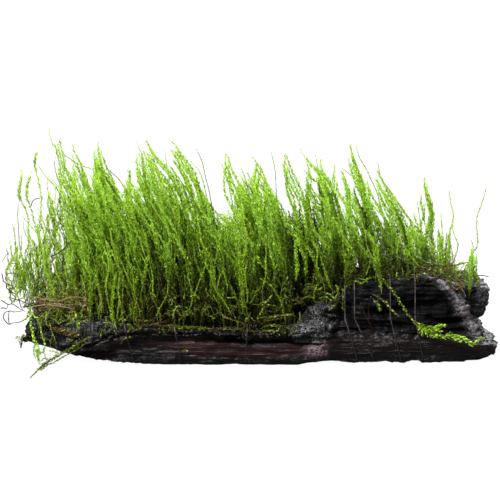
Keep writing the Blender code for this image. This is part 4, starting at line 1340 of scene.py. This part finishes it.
fringe_count = 0
for name, (x_from, x_to, _, _) in CLUMPS.items():
    if x_to > FRINGE_ENDS:
        continue
    paths = fringe_paths(x_from, x_to, int((x_to - x_from) * FRINGE_PER_MM), chance)
    count = len(paths)
    tint_of = np.where(chance.random(count) < 0.5, 0.92, 0.80) + chance.normal(0, 0.02, count)
    shade = 0.16 + chance.normal(0, 0.08, (count, 1)) + 0.10 * np.linspace(0, 1, FRINGE_RINGS)
    shade = np.clip(shade, 0.05, 0.9)
    clump_parts[name].append(leafy(paths, shade, tint_of, chance=chance, **FRINGE_SHOOT))
    fringe_count += count
print("the fringe has", fringe_count, "shoots")

# %% [markdown]
# ## Shoots that hang and trail
#
# Some shoots fell over the front of the wood, and one trails away over the table. Each is again a list of
# marks in the photograph. A mark that lies on the wood is followed until its ray meets the front of the
# wood, and one on the table until it meets the table, so these shoots touch what carries them from any
# side.

# %% Places on the wood and on the table
# The depth where the search for the wood's front starts, how often it is corrected, and where it ends.
SEARCH_Y, SEARCH_TURNS = -18.0, 6
FRONT_ENDS_Y = 4
LEAST_HEIGHT = 0.5


def onto_wood(columns, rows, clear):
    """Where the pixels' rays meet the wood's front, moved forward by clear: depth is read at each turn."""
    y = np.full(len(columns), SEARCH_Y)
    for turn in range(SEARCH_TURNS):
        place = from_photo(columns, rows, y)
        y = np.minimum(face(place[:, 0], np.maximum(place[:, 2], 0.6)), FRONT_ENDS_Y) - clear
    place = from_photo(columns, rows, y)
    place[:, 2] = np.maximum(place[:, 2], LEAST_HEIGHT)
    return place


def onto_table(columns, rows, z):
    """Where the pixels' rays meet the plane at height z: two depths give the ray, which is followed to z."""
    near, far = from_photo(columns, rows, -60.0), from_photo(columns, rows, 0.0)
    share = (z - near[:, 2]) / (far[:, 2] - near[:, 2])
    return near + (far - near) * share[:, None]


def add_drawn(parts, path, kind, tint_from, shade_from, shade_to, chance, **changes):
    """A drawn shoot with one of the looks. Its shade runs from foot to tip. Changes replace single sizes."""
    sizes = dict(LOOKS[kind], **changes)
    s = np.linspace(0, 1, len(path))
    shade = (shade_from + (shade_to - shade_from) * s)[None]
    parts.append(leafy(path[None], shade, tint_from, chance=chance, **sizes))


print("one pixel low on the wood shows", onto_wood([200.0], [340.0], 0.0)[0].round(1), "mm")

# %% Marks of the shoots that stand out in front
def in_front(marks, y):
    """The marks at depth y, moved to just before the wood's face wherever the wood would hide them there."""
    columns, rows = np.array(marks, float).T
    place = from_photo(columns, rows, y)
    hidden = place[:, 2] < ground(place[:, 0], y) + 0.3
    before_face = np.minimum(y, face(place[:, 0], place[:, 2]) - 0.6)
    return from_photo(columns, rows, np.where(hidden, before_face, y))


# Each has its look, its tint at the foot, its depth y, its shade at foot and tip, and its marks, foot first.
FRONT_SHOOTS = [
    (FULL, 0.80, -19, 0.45, 0.66, ((142, 291), (145, 272), (148, 256), (147, 243), (144, 230))),
    (THIN, 0.82, -19, 0.42, 0.60, ((141, 294), (143, 280), (139, 268), (135, 256), (136, 242), (138, 230))),
    (THIN, 0.82, -19, 0.42, 0.60, ((135, 298), (134, 284), (132, 270), (128, 261))),
    (THIN, 0.84, -19, 0.46, 0.60, ((196, 304), (195, 295), (199, 282), (204, 270), (206, 258),
        (202, 244), (196, 234))),
    (THIN, 0.85, -19, 0.42, 0.55, ((214, 266), (217, 254), (217, 242), (213, 230))),
    (THIN, 0.85, -20, 0.52, 0.55, ((232, 316), (225, 303), (217, 292), (212, 280), (210, 267))),
    (THIN, 0.84, -20, 0.42, 0.60, ((217, 293), (218, 284), (221, 273))),
    (THIN, 0.84, -20, 0.42, 0.55, ((228, 292), (226, 280), (222, 267))),
    (THIN, 0.85, -20, 0.40, 0.50, ((189, 311), (192, 300), (191, 288))),
    (THIN, 0.86, -20, 0.40, 0.50, ((158, 322), (157, 315), (161, 306), (167, 295), (168, 284))),
    (THIN, 0.87, -20, 0.55, 0.80, ((173, 319), (174, 312), (177, 306))),
    (FULL, 0.72, -19, 0.50, 0.62, ((243, 314), (242, 296), (240, 280), (240, 264), (240, 248), (239, 232))),
    (FULL, 0.70, -19, 0.50, 0.70, ((244, 302), (243, 286), (242, 270), (244, 256), (247, 240))),
    (THIN, 0.83, -20, 0.50, 0.60, ((248, 304), (247, 290), (245, 276), (247, 262))),
    (FULL, 0.74, -18, 0.46, 0.66, ((305, 277), (306, 266), (303, 254), (299, 244), (296, 234))),
    (FULL, 0.74, -18, 0.46, 0.66, ((296, 282), (297, 268), (296, 254), (295, 240))),
    (THIN, 0.85, -19, 0.55, 0.60, ((284, 314), (281, 302), (276, 293), (270, 285), (261, 279))),
    (THIN, 0.85, -19, 0.50, 0.60, ((257, 318), (262, 311), (266, 303), (272, 295))),
    (THIN, 0.85, -17, 0.50, 0.66, ((331, 289), (328, 281), (325, 274))),
    (THIN, 0.84, -17, 0.5, 0.7, ((314, 293), (317, 285))),
    (THIN, 0.84, -16, 0.55, 0.70, ((334, 301), (338, 292), (336, 285))),
    (FULL, 0.66, -16, 0.50, 0.66, ((382, 294), (380, 281), (378, 270), (376, 260), (374, 250), (373, 240))),
    (FULL, 0.62, -16, 0.50, 0.66, ((380, 282), (379, 270), (378, 257), (377, 244))),
    (FULL, 0.60, -16, 0.52, 0.66, ((379, 277), (375, 266), (370, 258), (365, 251), (360, 245))),
    (THIN, 0.80, -15, 0.62, 0.66, ((420, 267), (413, 259), (407, 251), (402, 243), (398, 236))),
    (THIN, 0.84, -15, 0.50, 0.60, ((366, 276), (369, 266), (371, 259))),
    (FULL, 0.80, -15, 0.66, 0.80, ((6, 277), (8, 268), (11, 262), (15, 254), (18, 246))),
    (FULL, 0.82, -15, 0.66, 0.80, ((20, 301), (17, 294), (18, 284), (20, 274), (19, 264), (21, 252))),
    (THIN, 0.84, -14, 0.66, 0.80, ((30, 296), (22, 298), (16, 301), (8, 298))),
    (THIN, 0.84, -14, 0.6, 0.8, ((19, 298), (15, 291), (11, 284))),
    (FULL, 0.82, -13, 0.55, 0.75, ((33, 296), (29, 284), (26, 272), (25, 260))),
    (FULL, 0.80, -12, 0.50, 0.75, ((27, 306), (24, 294), (23, 280), (24, 268), (22, 256))),
    (FULL, 0.62, -4, 0.66, 0.86, ((19.8, 203), (18.9, 197), (19, 190), (20.4, 183), (22, 175))),
    (SLIM, 0.62, -4, 0.66, 0.86, ((20.6, 201), (19.9, 193), (20.6, 186), (21.6, 180))),
    (FULL, 0.62, 1, 0.66, 0.86, ((30.5, 205), (27.6, 199), (26.8, 191), (28, 183), (31, 176))),
    (FULL, 0.62, -2, 0.70, 0.88, ((37, 173), (34.8, 165), (35, 158), (36.5, 153))),
    (FULL, 0.62, -16, 0.74, 0.90, ((56, 300), (53, 291), (49, 281), (45, 268), (43, 255), (42, 243))),
    (THIN, 0.87, -19, 0.34, 0.48, ((89, 327), (90, 314), (92, 302), (92, 290), (95, 276))),
    (FULL, 0.70, -19, 0.50, 0.60, ((117, 330), (113, 318), (112, 304), (113, 290), (115, 276))),
    (FINE, 0.95, -9, 0.75, 0.85, ((452, 279), (457, 282), (462, 287))),
    (FINE, 0.95, -9, 0.7, 0.85, ((454, 276), (460, 281), (465, 289))),
    (FINE, 0.95, -9, 0.70, 0.85, ((452, 284), (458, 285), (463, 291))),
    (FINE, 0.95, -9, 0.7, 0.8, ((457, 283), (462, 288), (466, 297))),
    (BARE, 0.93, -6, 0.20, 0.25, ((438, 267), (449, 266), (459, 264.5), (469, 262))),
    (BARE, 0.93, -4, 0.35, 0.45, ((473, 277), (480, 275.5), (489, 276.5))),
    (FINE, 0.95, -9, 0.60, 0.70, ((441, 262), (447, 266), (453, 271), (457, 277))),
    (FINE, 0.95, -9, 0.50, 0.60, ((443, 268), (449, 271), (455, 276))),
    (THIN, 0.93, -9, 0.40, 0.50, ((437, 264), (444, 268), (451, 273))),
    (FINE, 0.95, -9, 0.50, 0.60, ((446, 258), (450, 264), (455, 270), (458, 277))),
    (FINE, 0.95, -8, 0.6, 0.7, ((450, 262), (456, 268), (463, 272))),
    (THIN, 0.86, -17, 0.26, 0.45, ((300, 300), (307, 297), (314, 298))),
    (THIN, 0.88, -17, 0.3, 0.5, ((306, 294), (313, 292), (320, 295))),
    (THIN, 0.87, -17, 0.25, 0.45, ((318, 299), (325, 297), (331, 300))),
    (THIN, 0.86, -17, 0.3, 0.5, ((322, 292), (329, 294), (335, 299))),
    (THIN, 0.86, -17, 0.30, 0.45, ((310, 288), (316, 290), (322, 288))),
    (THIN, 0.88, -17, 0.3, 0.4, ((328, 304), (332, 300), (338, 301))),
    (THIN, 0.78, -13, 0.60, 0.70, ((17, 262), (15.8, 250), (15.3, 241), (14.5, 233), (12.5, 224))),
    (FINE, 0.80, -13, 0.50, 0.60, ((14, 262), (11.5, 252), (9.8, 244), (8.5, 237))),
    (FINE, 0.92, -14, 0.2, 0.2, ((2, 262), (5, 257), (9, 252))),
    (BARE, 0.90, -15, 0.16, 0.20, ((50, 257), (59, 253), (67, 246), (74, 238))),
    (BARE, 0.9, -15, 0.16, 0.2, ((43, 262), (42, 250), (45, 238))),
]
# The mat along the top edge of the block, from left to right.
BLOCK_MAT = (
    ((398, 262), (406, 264), (414, 267), (422, 270)), ((402, 258), (411, 262), (420, 266), (430, 270)),
    ((410, 264), (419, 268), (428, 272), (437, 275)), ((418, 262), (427, 266), (436, 271), (445, 276)),
    ((424, 268), (433, 272), (441, 276), (448, 281)), ((430, 262), (438, 266), (446, 271), (453, 277)),
    ((404, 266), (413, 269), (422, 272)), ((436, 270), (443, 275), (450, 280)),
    ((408, 268), (417, 271), (427, 274)), ((414, 257), (424, 261), (434, 265), (442, 268)),
    ((394, 259), (402, 262), (411, 265)), ((421, 264), (430, 267), (440, 272)),
)
print(len(FRONT_SHOOTS), "shoots in front are marked, and", len(BLOCK_MAT), "on the block's edge")

# %% Shoots in front that follow a rule
BLOCK_MAT_Y = -11
for marks in BLOCK_MAT:
    tint_from = chance.uniform(0.84, 0.90)
    shade_from, shade_to = chance.uniform(0.16, 0.30), chance.uniform(0.26, 0.46)
    FRONT_SHOOTS.append((THIN, tint_from, BLOCK_MAT_Y, shade_from, shade_to, marks))

# The loose mat that stands out beyond the left end: each shoot rises from a random pixel and bends at random.
LOOSE_SHOOTS = 52
LOOSE_COLUMNS, LOOSE_ROWS, LOOSE_RISE = (7, 36), (262, 306), (12, 30)
for number in range(LOOSE_SHOOTS):
    column, row = chance.uniform(*LOOSE_COLUMNS), chance.uniform(*LOOSE_ROWS)
    rise = chance.uniform(*LOOSE_RISE)
    bends = np.cumsum(chance.normal(0.4, 2.6, 3))
    marks = [(column, row)] + [(column + bend, row - rise * (i + 1) / 3) for i, bend in enumerate(bends)]
    path = smooth_path(in_front(marks, chance.uniform(-13, -7)), 20)
    tint_of, tip_shade = chance.uniform(0.74, 0.88), chance.uniform(0.66, 0.9)
    add_drawn(clump_parts["moss_left_end"], path, THIN, tint_of, 0.55, tip_shade, chance)

# Shoots at the back of the hollow between two clumps, painted dark as a painted shade for the hollow.
HOLLOW_SHOOTS = 44
HOLLOW_COLUMNS, HOLLOW_TOPS = (287, 326), (208, 238)
for number in range(HOLLOW_SHOOTS):
    column, top = chance.uniform(*HOLLOW_COLUMNS), chance.uniform(*HOLLOW_TOPS)
    marks = [(column, 292), (column - chance.uniform(-1, 4), 266), (column - chance.uniform(1, 8), 240)]
    marks.append((column - chance.uniform(4, 12), top))
    tint_from, y, shade_to = chance.uniform(0.4, 0.7), chance.uniform(2, 9), chance.uniform(0.12, 0.4)
    FRONT_SHOOTS.append((FULL, tint_from, y, 0.06, shade_to, marks))

# Short curled shoots in the shade along the foot of the moss, whose lower edge runs through (column, row).
CURLED_SHOOTS = 150
FOOT_LINE = np.array(((118, 322), (180, 317), (250, 320), (296, 308), (342, 305)), float)
for number in range(CURLED_SHOOTS):
    column = chance.uniform(FOOT_LINE[0, 0], FOOT_LINE[-1, 0])
    row = np.interp(column, *FOOT_LINE.T) - 26 * chance.random() ** 1.6
    turns = chance.uniform(-1.3, 1.3) + np.cumsum(chance.normal(0, 0.7, 3))
    step = chance.uniform(2.0, 4.2)
    marks = [(column, row)]
    for turn in turns:
        marks.append((marks[-1][0] + step * np.sin(turn), marks[-1][1] - step * np.cos(turn)))
    path = smooth_path(in_front(marks, np.interp(column, (290, 310), (-19.6, -16.8))), 10)
    shade_from, tint_of = chance.uniform(0.16, 0.42), chance.uniform(0.80, 0.89)
    kind = (THIN, FINE)[number % 2]
    add_drawn(clump_parts[clump_at(path[0, 0])], path, kind, tint_of, shade_from, shade_from * 1.5, chance)

# More of the thin moss at the right end.
END_SHOOTS = 14
END_COLUMNS, END_TOPS, END_FOOT_ROW = (437, 452), (226, 256), 274
for number in range(END_SHOOTS):
    column, top = chance.uniform(*END_COLUMNS), chance.uniform(*END_TOPS)
    middle_mark = (column - chance.uniform(-2, 2), (END_FOOT_ROW + top) / 2)
    marks = [(column, END_FOOT_ROW), middle_mark, (column - chance.uniform(-2, 3), top)]
    tint_from, y, shade_to = chance.uniform(0.74, 0.84), chance.uniform(-6, 3), chance.uniform(0.6, 0.8)
    FRONT_SHOOTS.append((THIN, tint_from, y, 0.3, shade_to, marks))
print(LOOSE_SHOOTS, "loose shoots,", CURLED_SHOOTS, "curled ones,", HOLLOW_SHOOTS, "in the hollow")

# %% Make the shoots in front
FRONT_RINGS = 24
# A shoot greener than BROWN_FROM gets fresher towards its tip, up to the tint FRESH_TIP.
BROWN_FROM, FRESH_TIP = 0.88, 0.7
for kind, tint_from, y, shade_from, shade_to, marks in FRONT_SHOOTS:
    path = smooth_path(in_front(marks, y), FRONT_RINGS)
    tint_to = min(tint_from, FRESH_TIP) if tint_from < BROWN_FROM else tint_from
    tint_of = (tint_from + (tint_to - tint_from) * np.linspace(0, 1, FRONT_RINGS) ** 0.7)[None]
    add_drawn(clump_parts[clump_at(path[0, 0])], path, kind, tint_of, shade_from, shade_to, chance)
print(len(FRONT_SHOOTS), "shoots stand out in front")

# %% The long shoot over the right face
# The solid of this shoot lies on a sheet in front of the face, through (x, y).
LEDGE_SHEET = np.array((
    (38.6, -17.4), (44.6, -18.0), (50.4, -18.6), (54.8, -19.6), (58.8, -20.2), (62.8, -20.2), (67.0, -19.6),
    (70.4, -18.6),
))


def over_ledge(marks, rings):
    """A smooth path through the marks on the sheet in front of the right face: y is read from x."""
    columns, rows = np.array(marks, float).T
    y = np.interp((columns - MIDDLE_COLUMN) * PIXEL_MM, *LEDGE_SHEET.T)
    place = from_photo(columns, rows, y)
    place[:, 1] = np.minimum(place[:, 1], face(place[:, 0], place[:, 2]) - 0.7)
    return smooth_path(place, rings)


UPPER_TRAIL = (
    (359, 245), (366, 255), (372, 264), (377, 271), (382, 278), (387, 285), (393, 291), (400, 302.5),
    (404.6, 309), (408, 315), (412.7, 320), (417, 325.7), (421.6, 329),
)
LOWER_TRAIL = (
    (417, 325.7), (421.6, 329), (429, 331.5), (436, 334.6), (443, 337), (449, 334.6), (457, 336.4),
    (462.7, 338), (467, 341), (471.6, 344), (475, 342.7), (479.6, 339), (484, 338),
)
TRAIL_SIDES = (
    ((416, 322), (423, 326), (431, 328), (438, 326), (445, 325.5)),
    ((419, 327), (427, 330), (435, 330), (441, 331.5)), ((423, 331), (430, 335), (437, 336)),
    ((420, 326), (421, 330), (422, 334)), ((446, 335), (454, 338), (460, 341)),
)
BROWN_BRANCH = ((371.6, 294), (379, 298), (386, 302.5), (389.5, 308), (394, 312), (399, 316))
DARK_BRANCH = ((372, 298), (377, 303), (380, 309))
SPIKY = {"leaf_length": 1.0, "leaf_width": 0.5, "spacing": 0.26, "slant": 0.95}
BUSHY = {"leaf_length": 1.35, "leaf_width": 0.62, "spacing": 0.2, "slant": 0.9}

right_parts = []
add_drawn(right_parts, over_ledge(UPPER_TRAIL, 44), THIN, 0.80, 0.16, 0.42, chance, **SPIKY)
add_drawn(right_parts, over_ledge(LOWER_TRAIL, 50), FULL, 0.66, 0.48, 0.66, chance, **BUSHY)
for marks in TRAIL_SIDES:
    add_drawn(right_parts, over_ledge(marks, 16), FULL, 0.62, 0.46, 0.68, chance, **BUSHY)
add_drawn(right_parts, over_ledge(BROWN_BRANCH, 20), FULL, 0.87, 0.42, 0.55, chance, **SPIKY)
add_drawn(right_parts, over_ledge(DARK_BRANCH, 12), FULL, 0.76, 0.16, 0.24, chance, **BUSHY)
print(len(right_parts), "shoots over the right face")

# %% Shoots over the left end
# The first of them is thick.
OVER_LEFT_END = (
    ((30, 304), (30, 318), (32, 330), (35, 343), (37.5, 356), (39.5, 366)),
    ((35, 343), (33.5, 350), (35, 358)), ((36, 349), (38.5, 353), (37.5, 361)),
    ((33, 335), (38, 346), (40, 354)), ((37, 356), (42, 352), (45, 347)),
    ((36, 318), (40, 325), (42, 335), (45, 345), (44, 352), (46.5, 361)), ((31, 312), (34, 316), (38, 318)),
    ((30, 309), (27.5, 314), (26, 320)),
)
# Their depth, (row, y).
LEFT_SHEET = np.array(((306, -15.6), (345, -19.6), (365, -20.4)))
left_parts = []
for number, marks in enumerate(OVER_LEFT_END):
    columns, rows = np.array(marks, float).T
    path = from_photo(columns, rows, np.interp(rows, *LEFT_SHEET.T))
    path[:, 1] = np.minimum(path[:, 1], face(path[:, 0], path[:, 2]) - 0.5)
    path[:, 2] = np.maximum(path[:, 2], LEAST_HEIGHT)
    kind, shade_from = (FULL, 0.62) if number == 0 else (THIN, 0.5)
    add_drawn(left_parts, smooth_path(path, 22), kind, 0.62, shade_from, 0.85, chance, spacing=0.24)
print(len(left_parts), "shoots at the left end")

# %% The stem on the table
TABLE_STEM = ((92, 336), (84, 340), (76, 345.5), (66, 351), (57, 356), (47, 362.5), (38, 370), (30, 378))
# The depth of the first marks, which lie off the table.
STEM_Y = (-23.0, -23.2, -23.2, -22.8, -21.8, -20.3)
# Side shoots, each with its depth.
STEM_SIDES = (
    (-22, ((60, 356), (56, 352), (50, 351))), (-21, ((50, 361), (45, 358), (41, 361))),
    (-27, ((42, 366), (41, 370), (37, 374))),
)
STEM_RINGS = 72
ROPE = {"radius": 0.24, "leaf_length": 1.25, "leaf_width": 0.6, "spacing": 0.19}

table_parts = []
columns, rows = np.array(TABLE_STEM, float).T
path = onto_table(columns, rows, 0.75)
path[:len(STEM_Y)] = from_photo(columns[:len(STEM_Y)], rows[:len(STEM_Y)], STEM_Y)
path = smooth_path(path, STEM_RINGS)
add_drawn(table_parts, path[:50], FULL, 0.84, 0.34, 0.46, chance, **ROPE)
add_drawn(table_parts, path[40:], THIN, 0.82, 0.36, 0.44, chance, radius=0.2)
beside_stem = path[4:52] + np.array((0.9, -0.4, -0.8))
beside_stem[:, 2] = np.maximum(beside_stem[:, 2], 0.6)
add_drawn(table_parts, beside_stem, THIN, 0.85, 0.30, 0.42, chance)
for y, marks in STEM_SIDES:
    side_shoot = from_photo(*np.array(marks, float).T, y)
    side_shoot[:, 2] = np.maximum(side_shoot[:, 2], LEAST_HEIGHT)
    add_drawn(table_parts, smooth_path(side_shoot, 10), THIN, 0.6, 0.6, 0.9, chance)
print(len(table_parts), "shoots on the table")

# %% Shoots that hang over the front
# Each has its look, its tint and its marks.
HANGING = [
    (THIN, 0.85, ((49, 321), (52, 332), (56, 343), (57, 352))),
    (THIN, 0.85, ((58, 306), (60, 315), (62, 323))),
    (THIN, 0.85, ((52, 336), (51, 341), (50, 347))),
    (THIN, 0.93, ((50, 327), (58, 328.5), (66, 330), (74, 333), (80, 336))),
    (FULL, 0.92, ((52, 329), (60, 331), (68, 333.5), (77, 336))),
    (THIN, 0.92, ((54, 332), (63, 330), (72, 334), (79, 334))),
    (THIN, 0.91, ((58, 333), (66, 335), (75, 337.5))),
    (FULL, 0.80, ((75, 310), (77, 319), (78, 329))),
    (THIN, 0.82, ((78, 316), (74, 319), (70, 323), (67, 324))),
    (THIN, 0.88, ((135, 322), (147, 325), (160, 327))),
    (THIN, 0.91, ((134, 319), (145, 321), (158, 320), (166, 323))),
    (THIN, 0.88, ((120, 345), (124, 339), (132, 337))),
    (THIN, 0.92, ((131, 331), (142, 327), (154, 324), (165, 322))),
    (THIN, 0.90, ((130, 333), (140, 329), (152, 326), (160, 325))),
    (THIN, 0.87, ((183, 351), (185, 350), (188, 351))),
    (THIN, 0.85, ((183, 308), (184, 315), (187, 322))),
    (THIN, 0.87, ((221, 314), (227, 318), (236, 321), (243, 323))),
    (THIN, 0.85, ((255, 304), (250, 314), (245, 321))),
    (THIN, 0.87, ((258, 318), (268, 317), (280, 315), (293, 314))),
    (THIN, 0.87, ((262, 321), (270, 318), (279, 316), (292, 315))),
    (THIN, 0.92, ((261, 323), (271, 320), (282, 318))),
    (THIN, 0.86, ((259, 329), (267, 327), (277, 328), (288, 328))),
    (THIN, 0.87, ((261, 331), (270, 331), (281, 331))),
    (THIN, 0.85, ((262, 327), (272, 325), (284, 326))), (THIN, 0.86, ((265, 330), (274, 329), (285, 330))),
    (BARE, 0.94, ((371, 296), (369.6, 304), (368.4, 312), (370, 320))),
    (BARE, 0.94, ((360, 303), (364, 312), (369, 322), (374, 332))),
    (THIN, 0.85, ((264, 329), (271, 328), (279, 330), (286, 328))),
    (THIN, 0.85, ((290, 331), (294, 327), (299, 321), (300, 313))),
]
for kind, tint_from, marks in HANGING:
    columns, rows = np.array(marks, float).T
    path = smooth_path(onto_wood(columns, rows, 0.7), 18)
    shade_from, shade_to = (0.22, 0.30) if kind == BARE else (0.44, 0.60)
    add_drawn(clump_parts[clump_at(path[0, 0])], path, kind, tint_from, shade_from, shade_to, chance)
print(len(HANGING), "hanging shoots")

# %% The bare loops at the left end
DARK_LOOPS = [
    ((31.5, 206), (32.6, 201.5), (36, 199), (41, 198)),
    ((30, 315), (27, 317.5), (22, 321), (17, 322.5), (12, 323), (9.5, 325.5)),
    ((9, 325), (5, 320.5), (3.6, 317.5), (4, 314), (6, 312), (11, 311), (14, 312), (19, 311.5), (23, 311)),
    ((9.5, 325), (8.5, 318), (9, 313), (10, 311.3)),
    ((0.5, 300), (4, 302), (8, 304.5), (12, 304), (16, 306), (20, 309), (26, 312)),
    ((0.5, 308.5), (4, 308), (6.5, 309), (8, 305)),
    ((1.5, 273), (2.5, 277), (3.4, 281), (6, 283.5), (10.5, 285.5), (16, 290)),
    ((6, 283.5), (6.5, 288), (9, 290), (12, 292), (18, 296)),
    ((5.5, 280), (6, 277), (7.5, 274.4), (10, 273.5), (14, 273.2), (19, 275)),
    ((6, 276), (6.2, 270), (8, 266), (11, 263.8), (15, 263.4), (20, 267)),
    ((18, 299), (19.5, 302), (20.6, 306), (23, 310)),
    ((22, 307), (27, 306.5), (31, 303.5), (36, 303), (43, 303)),
    ((40, 312), (33, 306), (24, 302), (12, 298), (6, 297)),
]
PALE_LOOPS = [
    ((57, 302), (47, 298), (38, 294), (31, 293)), ((57, 302), (48, 303), (38, 302), (30, 304)),
    ((58, 302), (68, 298), (78, 297), (90, 300)), ((57, 303), (66, 305), (76, 304), (88, 306)),
    ((49, 309), (41, 303), (33, 299), (26, 299)), ((60, 300), (52, 292), (46, 284), (44, 277)),
    ((30, 299), (40, 300), (52, 300), (64, 303)), ((29, 307), (40, 305.5), (50, 304), (62, 304.5)),
    ((34, 296.5), (44, 299), (56, 299)), ((48, 301), (62, 301), (76, 303), (90, 303)),
    ((54, 307), (66, 306), (84, 308)), ((44, 291), (50, 297), (59, 300), (70, 299)),
    ((46, 305), (58, 306), (74, 309)), ((66, 304), (52, 307.5), (38, 308)),
]
# The loops lie in a few layers, each a little further back.
LOOP_Y, LOOP_STEP, LOOP_LAYERS = -15.0, 0.9, 5
for number, marks in enumerate(DARK_LOOPS + PALE_LOOPS):
    columns, rows = np.array(marks, float).T
    path = smooth_path(from_photo(columns, rows, LOOP_Y + LOOP_STEP * (number % LOOP_LAYERS)), 20)
    floor_here = np.where(over_wood(path[:, 0], path[:, 1]), ground(path[:, 0], path[:, 1]), 0.0)
    path[:, 2] = np.maximum(path[:, 2], floor_here + 0.3)
    light, radius = (0.17, 0.21) if number < len(DARK_LOOPS) else (0.92, 0.15)
    sizes = {"radius": radius, "spacing": 1.4}
    add_drawn(clump_parts["moss_left_end"], path, BARE, 0.94, light, light, chance, **sizes)
print(len(DARK_LOOPS), "dark loops and", len(PALE_LOOPS), "pale ones")

# %% Put all the moss in the scene
ABOVE_TABLE = 0.02


def add_moss(name, parts, node):
    """One piece of moss, kept just above the table, in the place of its solid."""
    points, triangles, uv = join_parts(parts)
    points[:, 2] = np.maximum(points[:, 2], ABOVE_TABLE)
    add_piece(mesh_from_arrays(name, points, triangles, uv), moss_finish, [node])


for name, parts in clump_parts.items():
    add_moss(name + "_shoots", parts, name)
add_moss("trail_over_right_face", right_parts, "shoot_over_right_face")
add_moss("trail_over_left_end", left_parts, "shoot_over_left_end")
add_moss("trail_on_the_table", table_parts, "shoot_on_the_table")
moss_faces = sum(len(piece.data.polygons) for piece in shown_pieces() if piece.data.materials[0] is moss_finish)
print("all the moss has", moss_faces, "triangles")

# %% [markdown]
# ## The binding thread
#
# A thin pale thread was wound round the wood to hold the moss until it grips. Its solid already has the
# right course and thickness, so it stays and only gets a finish: dull pinkish grey with the twist's light
# and dark painted along it, as well as bumped.

# %% Thread finish
THREAD_DARK = (0.010, 0.007, 0.008)
THREAD_PALE = (0.075, 0.056, 0.060)
THREAD_LOW = (0.010, 0.007, 0.007)
WOOD_HEIGHT = 30

thread_finish, tree = empty_material("wet_thread")
place = tree.nodes.new("ShaderNodeTexCoord").outputs["Object"]
twist = noise_node(tree, place, 900.0, 2.0)
# Painted light and shade of the twist: pale and dark along the thread.
thread_colour = ramp(tree, twist, [(0.38, THREAD_DARK), (0.66, THREAD_PALE)])
# Low down the thread is darker, as dark as the wood.
height = add_node(tree, "ShaderNodeSeparateXYZ", Vector=place).outputs[2]
height_share = math_node(tree, "MULTIPLY", height, 1 / (WOOD_HEIGHT * MM))
low_down = ramp(tree, height_share, [(0.28, 1.0), (0.42, 0.0)])
thread_colour = blend_colours(tree, low_down, thread_colour, THREAD_LOW)
twisted = bump_node(tree, 0.5, 0.0001, twist)
shader = add_node(tree, "ShaderNodeBsdfPrincipled", Base_Color=thread_colour, Roughness=0.45, Normal=twisted)
to_output(tree, shader.outputs[0])
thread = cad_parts["binding_thread"]
thread.data.materials.clear()
thread.data.materials.append(thread_finish)
print("thread finished")

# %% The sizes of the dressed model
visual_low, visual_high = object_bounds()
sizes = {"cad": [list(cad_low), list(cad_high)], "visual": [list(visual_low), list(visual_high)]}
visual_size = [round((high - low) / MM, 1) for low, high in zip(visual_low, visual_high)]
print("the dressed model spans", visual_size, "mm")
